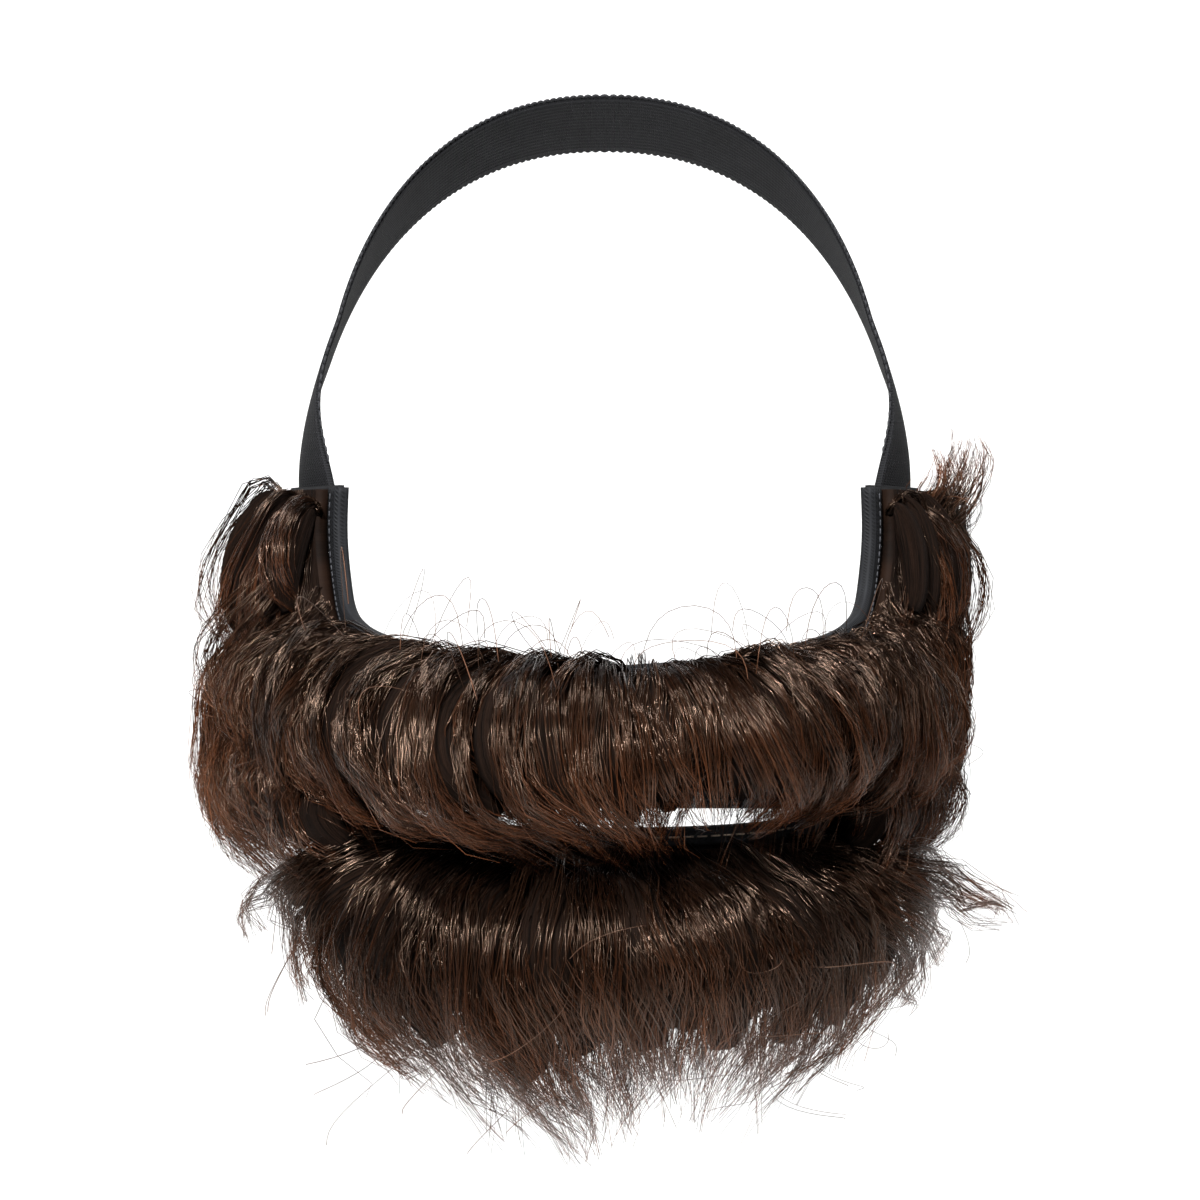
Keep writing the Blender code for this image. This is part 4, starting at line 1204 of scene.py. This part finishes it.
def add_core(shape, piece):
    """Adds the bed of a hair piece: a flat sheet, extruded once and carried to the patch."""
    bed = flat_sheet(BED_COLUMNS, BED_ROWS)
    top = bmesh.ops.extrude_face_region(bed, geom=bed.faces[:])["geom"]
    upper = {element for element in top if isinstance(element, bmesh.types.BMVert)}
    for vert in bed.verts:
        u, v = np.array([vert.co.x]), np.array([1 - vert.co.y])
        vert.co = core_place(piece, u, v, 1.0 if vert in upper else 0.0)[0]
    size_uv(bed, *BED_SHEET_MM)
    bmesh.ops.recalc_face_normals(bed, faces=bed.faces)
    add_shape(shape, bed)


def add_lock_mass(shape, guide, dice):
    """Adds the body of a lock: the straight tube carried along it, with grooves along its length."""
    tube = straight_tube(MASS_SIDES, MASS_RINGS)
    uv = tube.loops.layers.uv.new(UV_NAME)
    flat = np.array([vert.co for vert in tube.verts])
    turn = np.arctan2(flat[:, 1], flat[:, 0])
    share = flat[:, 2]
    phase = dice.uniform(0, 2 * math.pi, 3)
    groove = 0.78 + 0.06 * np.sin(5 * turn + phase[0] + 2 * share)
    groove += 0.035 * np.sin(9 * turn + phase[1] - 3 * share) + 0.03 * np.sin(14 * turn + phase[2])
    groove *= 1 - 0.45 * ease((share - 0.45) / 0.55)
    share = share * MASS_REACH
    points = read_guide(guide, "centre", share)
    points = points + read_guide(guide, "across", share) * read_guide(guide, "half_width", share) * (
        groove * flat[:, 0])[:, None]
    points = points + read_guide(guide, "out", share) * read_guide(guide, "half_thickness", share) * (
        groove * flat[:, 1])[:, None]
    places = {vert.index: (turn[vert.index], share[vert.index]) for vert in tube.verts}
    for face in tube.faces:
        middle_turn = np.mean([places[vert.index][0] for vert in face.verts])
        for loop in face.loops:
            around, along = places[loop.vert.index]
            if around - middle_turn > 1:
                around -= 2 * math.pi
            loop[uv].uv = (around * 6 + phase[0] * 9, along * 55)
    for vert, point in zip(tube.verts, points):
        vert.co = point
    bmesh.ops.recalc_face_normals(tube, faces=tube.faces)
    add_shape(shape, tube)


for number, piece in enumerate(HAIR_PIECES):
    mass_dice = np.random.default_rng(40 + number)
    mass_shape = bmesh.new()
    add_core(mass_shape, piece)
    for guide in guides[piece[0]]:
        if guide["row"][3] > 0:
            add_lock_mass(mass_shape, guide, mass_dice)
    for kind, rows in MASS_ROWS.get(piece[0], []):
        for row in rows:
            add_lock_mass(mass_shape, lock_guide(row, pieces_by_node[kind]), mass_dice)
    mass = new_piece(piece[0] + "_mass", mass_shape, hair_mass_finish)
    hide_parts(piece[0])

# %% [markdown]
# On top lie the fibres that the eye sees. Those of one lock gather in small wisps: each wisp has
# its own side of the lock, wave, tone and length, and its fibres draw together towards the tip.
# A few leave the lock altogether. Every number comes from a seeded dice, so each run is the same.

# %% Fibres along a lock
FIBRE_RADIUS = 0.000135
WAVE_LENGTH = 0.030
WAVE_DEPTH = 0.0019
WISP_DRIFT = 0.30
OWN_WAY = 0.0008
STRAY_WAY = 4.0


def lock_fibres(guide, count, wisps, rings, dice, stray_share=0.05, late_share=0.45):
    """The lines, radii and tones of the fibres of one lock. Late ones start part of the way down."""
    row = guide["row"]
    wisp = dice.integers(0, wisps, count)
    wisp_turn = np.radians(np.linspace(5, 175, wisps) + dice.normal(0, 14, wisps))
    wisp_far = dice.uniform(0.86, 1.06, wisps)
    wisp_length = dice.uniform(0.84, 1.04, wisps)
    wisp_drift = dice.normal(0, 1, (wisps, 2)) * WISP_DRIFT
    wisp_wave = dice.normal(0, 0.45, (wisps, 2))
    wisp_tone = dice.uniform(0.10, 0.80, wisps)
    stray = dice.random(count) < stray_share
    start = dice.uniform(0.0, 0.35, count) * (dice.random(count) < late_share)
    end = np.minimum(wisp_length[wisp] * dice.uniform(0.80, 1.05, count), OVERSHOOT - 0.02)
    steps = np.linspace(0, 1, rings)
    share = start[:, None] + (end - start)[:, None] * steps
    gather = 1 - 0.5 * ease(share / 0.9)
    turn = wisp_turn[wisp][:, None] + dice.normal(0, 0.42, count)[:, None] * gather
    far = wisp_far[wisp][:, None] + np.abs(dice.normal(0, 0.08, count))[:, None]
    full = LOCK_WIDTH / 2 * row[8]
    tip_room = 0.55 * ease((share - 0.5) / 0.5)
    wide = np.maximum(read_guide(guide, "half_width", share)[..., 0], full * tip_room)
    deep = read_guide(guide, "half_thickness", share)[..., 0]
    deep = np.maximum(deep, full * 0.45 * tip_room)
    drift = wisp_drift[wisp][:, None] * (share**2)[..., None]
    across = far * np.cos(turn) * 1.12 + drift[..., 0]
    out = far * np.sin(turn) + drift[..., 1]
    centre = read_guide(guide, "centre", share)
    length = np.linalg.norm(np.diff(guide["centre"], axis=0), axis=1).sum() / OVERSHOOT
    sway = 2 * math.pi * (share * length / WAVE_LENGTH + dice.random()) + centre[..., 0] / 0.020
    across_sway = np.sin(sway + wisp_wave[wisp, :1] + dice.normal(0, 0.2, count)[:, None])
    out_sway = np.cos(sway + wisp_wave[wisp, 1:] + dice.normal(0, 0.2, count)[:, None])
    swing = WAVE_DEPTH * ease(share / 0.25)
    own = dice.normal(0, 1, (count, 2)) * OWN_WAY
    own = np.where(stray[:, None], own * STRAY_WAY, own)
    across_more = across_sway * swing + own[:, :1] * share**1.5
    out_more = out_sway * swing * 0.8 + np.abs(own[:, 1:]) * share**1.5
    lines = centre + read_guide(guide, "across", share) * (wide * across + across_more)[..., None]
    lines = lines + read_guide(guide, "out", share) * (deep * out + out_more)[..., None]
    slim = np.clip(1.15 - steps, 0.28, 1.0) ** 0.6
    radii = FIBRE_RADIUS * slim[None] * dice.uniform(0.7, 1.3, count)[:, None]
    tones = np.stack([
        np.clip(wisp_tone[wisp] + dice.normal(0, 0.2, count), 0, 1),
        # Stray fibres take more of the painted see-through tip colour.
        np.clip(dice.uniform(0.0, 0.8, count) + 0.3 * stray, 0, 1),
    ], axis=1)
    return lines, radii, tones


for number, (name, kind, rows, count, wisps, rings) in enumerate(FIBRES):
    dice = np.random.default_rng(7 + number)
    rows = ruffled(rows, dice)
    made = [
        lock_fibres(lock_guide(row, pieces_by_node[kind]), count, wisps, rings, dice) for row in rows
    ]
    tubes_along(name, *(np.concatenate(part) for part in zip(*made)), strand_finish, "hair")

# %% [markdown]
# Between the locks and along the edges of a piece, shorter fibres lie on the bed itself. They are
# rooted anywhere on the patch and run down it, a little off its surface, so no cloth or bare bed
# shows between one lock and the next.

# %% Fibres on the beds
BED_RINGS = 6
BED_WISP = 9
BED_FIBRES = [
    # piece name, node, count, reach down, drift across
    ("moustache_bed_fibres", "moustache_hair", 500, 0.75, 0.00),
    ("chin_bed_fibres", "chin_hair", 500, 0.55, 0.00),
    ("cheek_bed_fibres_left", "cheek_hair_left", 650, 0.38, 0.10),
    ("cheek_bed_fibres_right", "cheek_hair_right", 750, 0.38, 0.10),
]


def bed_fibres(piece, count, reach, drift, rings, dice):
    """The lines, radii and tones of fibres that lie on a bed."""
    steps = np.linspace(0, 1, rings)[None]
    wisps = count // BED_WISP
    wisp = dice.integers(0, wisps, count)
    wisp_u, wisp_v = dice.uniform(-0.02, 1.02, (2, wisps))
    wisp_tone = dice.uniform(0.1, 0.75, wisps)
    wisp_lean = dice.normal(0, 0.03, wisps)
    gather = 1 - 0.6 * steps
    root_u = wisp_u[wisp][:, None] + dice.normal(0, 0.025, count)[:, None] * gather
    root_v = np.clip(wisp_v[wisp] * 1.1 - 0.1, 0.0, 0.97) + dice.normal(0, 0.03, count)
    long = reach * dice.uniform(0.6, 1.1, count)
    v = root_v[:, None] + long[:, None] * steps
    u = root_u + (drift * long / reach + wisp_lean[wisp])[:, None] * steps
    u = u + 0.008 * np.sin(7 * steps + 6 * wisp_u[wisp][:, None])
    place_u, place_v = np.clip(u, 0, 1), np.clip(v, 0, 1)
    base = core_place(piece, place_u, place_v, 0.0)
    top = core_place(piece, place_u, place_v, 1.0)
    out = unit(top - base)
    lift = 0.0008 + 0.0025 * np.sin(math.pi * steps) * dice.uniform(0.2, 1.0, count)[:, None]
    lift = lift + 0.0006 * np.cos(9 * steps + 5 * wisp_v[wisp][:, None])
    lines = top + out * lift[..., None]
    below = np.maximum(v - 1, 0) * 0.05
    lines[..., 2] -= below
    slim = np.clip(1.1 - steps, 0.3, 1.0) ** 0.6
    radii = FIBRE_RADIUS * slim * dice.uniform(0.7, 1.3, count)[:, None]
    tones = np.stack([
        np.clip(wisp_tone[wisp] + dice.normal(0, 0.2, count), 0, 1), dice.uniform(0.0, 0.6, count)
    ], axis=1)
    return lines, radii, tones


for number, (name, node, count, reach, drift) in enumerate(BED_FIBRES):
    dice = np.random.default_rng(70 + number)
    made = bed_fibres(pieces_by_node[node], count, reach, drift, BED_RINGS, dice)
    tubes_along(name, *made, strand_finish, "hair")

# %% [markdown]
# Along the lip, the first row of hair stands up over the tape and falls forward, which hides the
# tape from the front. These fibres are rooted where the tape ends. Their paths are those of small
# narrow locks with a shorter fall than the locks below them, and none starts part of the way down.

# %% Fringe over the tape
FRINGE_ROWS = 34
FRINGE_FIBRES = 26
FRINGE_REACH = 0.98

fringe_dice = np.random.default_rng(31)
fringe_locks = [
    (side, 1.02, 5 * lean - 6 * (side < 0.2), 0.74, 4 * lean - 5 * (side < 0.2), 0.82, 0.5, 0.6, 0.62)
    for side, lean in zip(
        np.linspace(-FRINGE_REACH, FRINGE_REACH, FRINGE_ROWS), fringe_dice.uniform(-1, 1, FRINGE_ROWS)
    )
]
fringe_piece = ("moustache_hair", fringe_locks, moustache_place, 1, 0.012, 0.031, 0.0085, 1.0)
fringe_guides = [lock_guide(row, fringe_piece) for row in fringe_locks]
made = [lock_fibres(guide, FRINGE_FIBRES, 3, 9, fringe_dice, 0.02, 0.0) for guide in fringe_guides]
tubes_along("lip_fringe", *(np.concatenate(part) for part in zip(*made)), strand_finish, "hair")

# %% [markdown]
# However well a hair piece is combed, some long fibres spring out of it in wide thin arcs. They
# soften the outline against the light, and they look redder than the mass because light passes
# through them. Each arc leaves the surface of a lock at one place and comes back to it at another.

# %% Flyaway fibres
FLYAWAYS = [
    # guides, count, least and greatest height, least and greatest length, share down the lock
    (fringe_guides, 70, 0.004, 0.018, 0.010, 0.032, 0.15),
    (guides["cheek_hair_left"], 40, 0.003, 0.009, 0.012, 0.030, 0.45),
    (guides["cheek_hair_right"], 30, 0.002, 0.008, 0.012, 0.028, 0.40),
    (guides["chin_hair"], 50, 0.002, 0.007, 0.012, 0.030, 0.75),
]
FLYAWAY_RINGS = 13
FLYAWAY_RADIUS = 0.00010

fly_dice = np.random.default_rng(97)
arcs = []
for lock_guides, count, low, high, short, long, down in FLYAWAYS:
    for _ in range(count):
        guide = lock_guides[fly_dice.integers(len(lock_guides))]
        share = np.array([np.clip(down + fly_dice.normal(0, 0.15), 0.02, 0.95)])
        out, across = read_guide(guide, "out", share)[0], read_guide(guide, "across", share)[0]
        root = read_guide(guide, "centre", share)[0]
        root = root + out * read_guide(guide, "half_thickness", share)[0] * 0.8
        height = fly_dice.uniform(low, high)
        reach = fly_dice.uniform(short, long) * fly_dice.choice([-1, 1])
        up = np.array([0.0, 0.0, 1.0 if lock_guides is fringe_guides else -0.4])
        t = np.linspace(0, 1, FLYAWAY_RINGS)[:, None]
        bend = np.sin(math.pi * t ** fly_dice.uniform(0.7, 1.3))
        stray_up = unit(up + 0.5 * out + 0.3 * fly_dice.normal(0, 1, 3))
        arc = root + stray_up * height * bend + across * reach * (t - 0.12 * np.sin(2 * math.pi * t))
        arc = arc - [0.0, 0.0, 1.0] * (t**2) * abs(reach) * 0.35
        arcs.append(arc)
arcs = np.array(arcs)
fly_tones = np.stack([fly_dice.random(len(arcs)), fly_dice.uniform(0.2, 1.0, len(arcs))], axis=1)
fly_radii = np.full(arcs.shape[:2], FLYAWAY_RADIUS) * fly_dice.uniform(0.7, 1.2, (len(arcs), 1))
tubes_along("flyaway_fibres", arcs, fly_radii, fly_tones, flyaway_finish, "hair")

# %% [markdown]
# Sewing shows wherever a layer is held to another: a row along each tape, a box on each end of the
# elastic, and rows inside the backing where the hair is caught down. A stitch is a short tube that
# lies on the surface, so one rule finds the surface's own way out at each stitch.

# %% Stitches
STITCH_RADIUS = 0.00022
STITCH_RINGS = 4
STITCH_GAP_SHARE = 0.3
BACKING_STITCHES = 90
BOX_STITCHES = 7


def stitch_row(place, start, end, count, lift):
    """Lines of stitches on a laid sheet from one flat point to another, raised off its surface."""
    steps = np.linspace(0, 1, STITCH_RINGS)
    lines = []
    for k in range(count):
        t = (k + STITCH_GAP_SHARE / 2 + (1 - STITCH_GAP_SHARE) * steps) / count
        u = start[0] + (end[0] - start[0]) * t
        v = start[1] + (end[1] - start[1]) * t
        along = place(u + 1e-4, v) - place(u - 1e-4, v)
        across = place(u, v + 1e-3) - place(u, v - 1e-3)
        lines.append(place(u, v) + unit(np.cross(along, across)) * lift)
    return lines


def sew(name, lines, finish, slot):
    """One piece with a stitch along each line."""
    lines = np.array(lines)
    radii = np.full(lines.shape[:2], STITCH_RADIUS)
    tubes_along(name, lines, radii, np.full((len(lines), 2), 0.5), finish, slot, tube_sides=4)


ON_TAPE = -(TAPE_WALL / 2 + STITCH_RADIUS / 2)
on_edge_tape = tape_place(top_edge, TAPE_WIDTH)
on_mouth_tape = tape_place(slit_edge, BINDING_WIDTH)
TAPE_SEAMS = [
    # piece name, tape, finish, its rows: share across, first and last share along, stitches
    ("edge_tape_stitches", on_edge_tape, thread_finish,
     [(0.88, 0.005, 0.995, 120), (0.10, 0.005, 0.995, 120)]),
    ("mouth_tape_stitches", on_mouth_tape, pale_thread_finish, [(0.80, 0.50, 1.0, 40)]),
    ("mouth_tape_upper_stitches", on_mouth_tape, thread_finish,
     [(0.80, 0.0, 0.50, 40), (0.14, 0.0, 1.0, 80)]),
]
for name, tape, finish, seams in TAPE_SEAMS:
    tape_lines = []
    for across, first, last, count in seams:
        tape_lines += stitch_row(tape, (first, across), (last, across), count, ON_TAPE)
    sew(name, tape_lines, finish, "binding_tape")

STITCHED_ROWS = [
    # half of the backing, share down it, first and last share along it
    (0, 0.45, 0.13, 0.87),
    (1, 0.22, 0.10, 0.90),
    (1, 0.45, 0.07, 0.93),
    (1, 0.68, 0.07, 0.93),
    (1, 0.90, 0.10, 0.90),
]
backing_lines = []
for part, down, first, last in STITCHED_ROWS:
    inside = backing_place(part, -0.0001)
    backing_lines += stitch_row(inside, (first, down), (last, down), BACKING_STITCHES, 0.0)
sew("backing_stitches", backing_lines, thread_finish, "backing_cloth")


def inside_strap(u, v):
    """The face of the elastic that lies on the head."""
    return strap_place(u, v, -GAP - STRAP_WALL - STITCH_RADIUS / 2)


def box_corners(first, last):
    """The corners of a sewn box across the elastic, and of the cross inside it."""
    return [(first, 0.12), (last, 0.12), (last, 0.88), (first, 0.88), (first, 0.12), (last, 0.88),
            (first, 0.88), (last, 0.12)]


strap_lines = []
for box in (box_corners(0.004, 0.040), box_corners(0.996, 0.960)):
    for start, end in zip(box, box[1:]):
        strap_lines += stitch_row(inside_strap, start, end, BOX_STITCHES, 0.0)
sew("strap_box_stitches", strap_lines, thread_finish, "elastic")
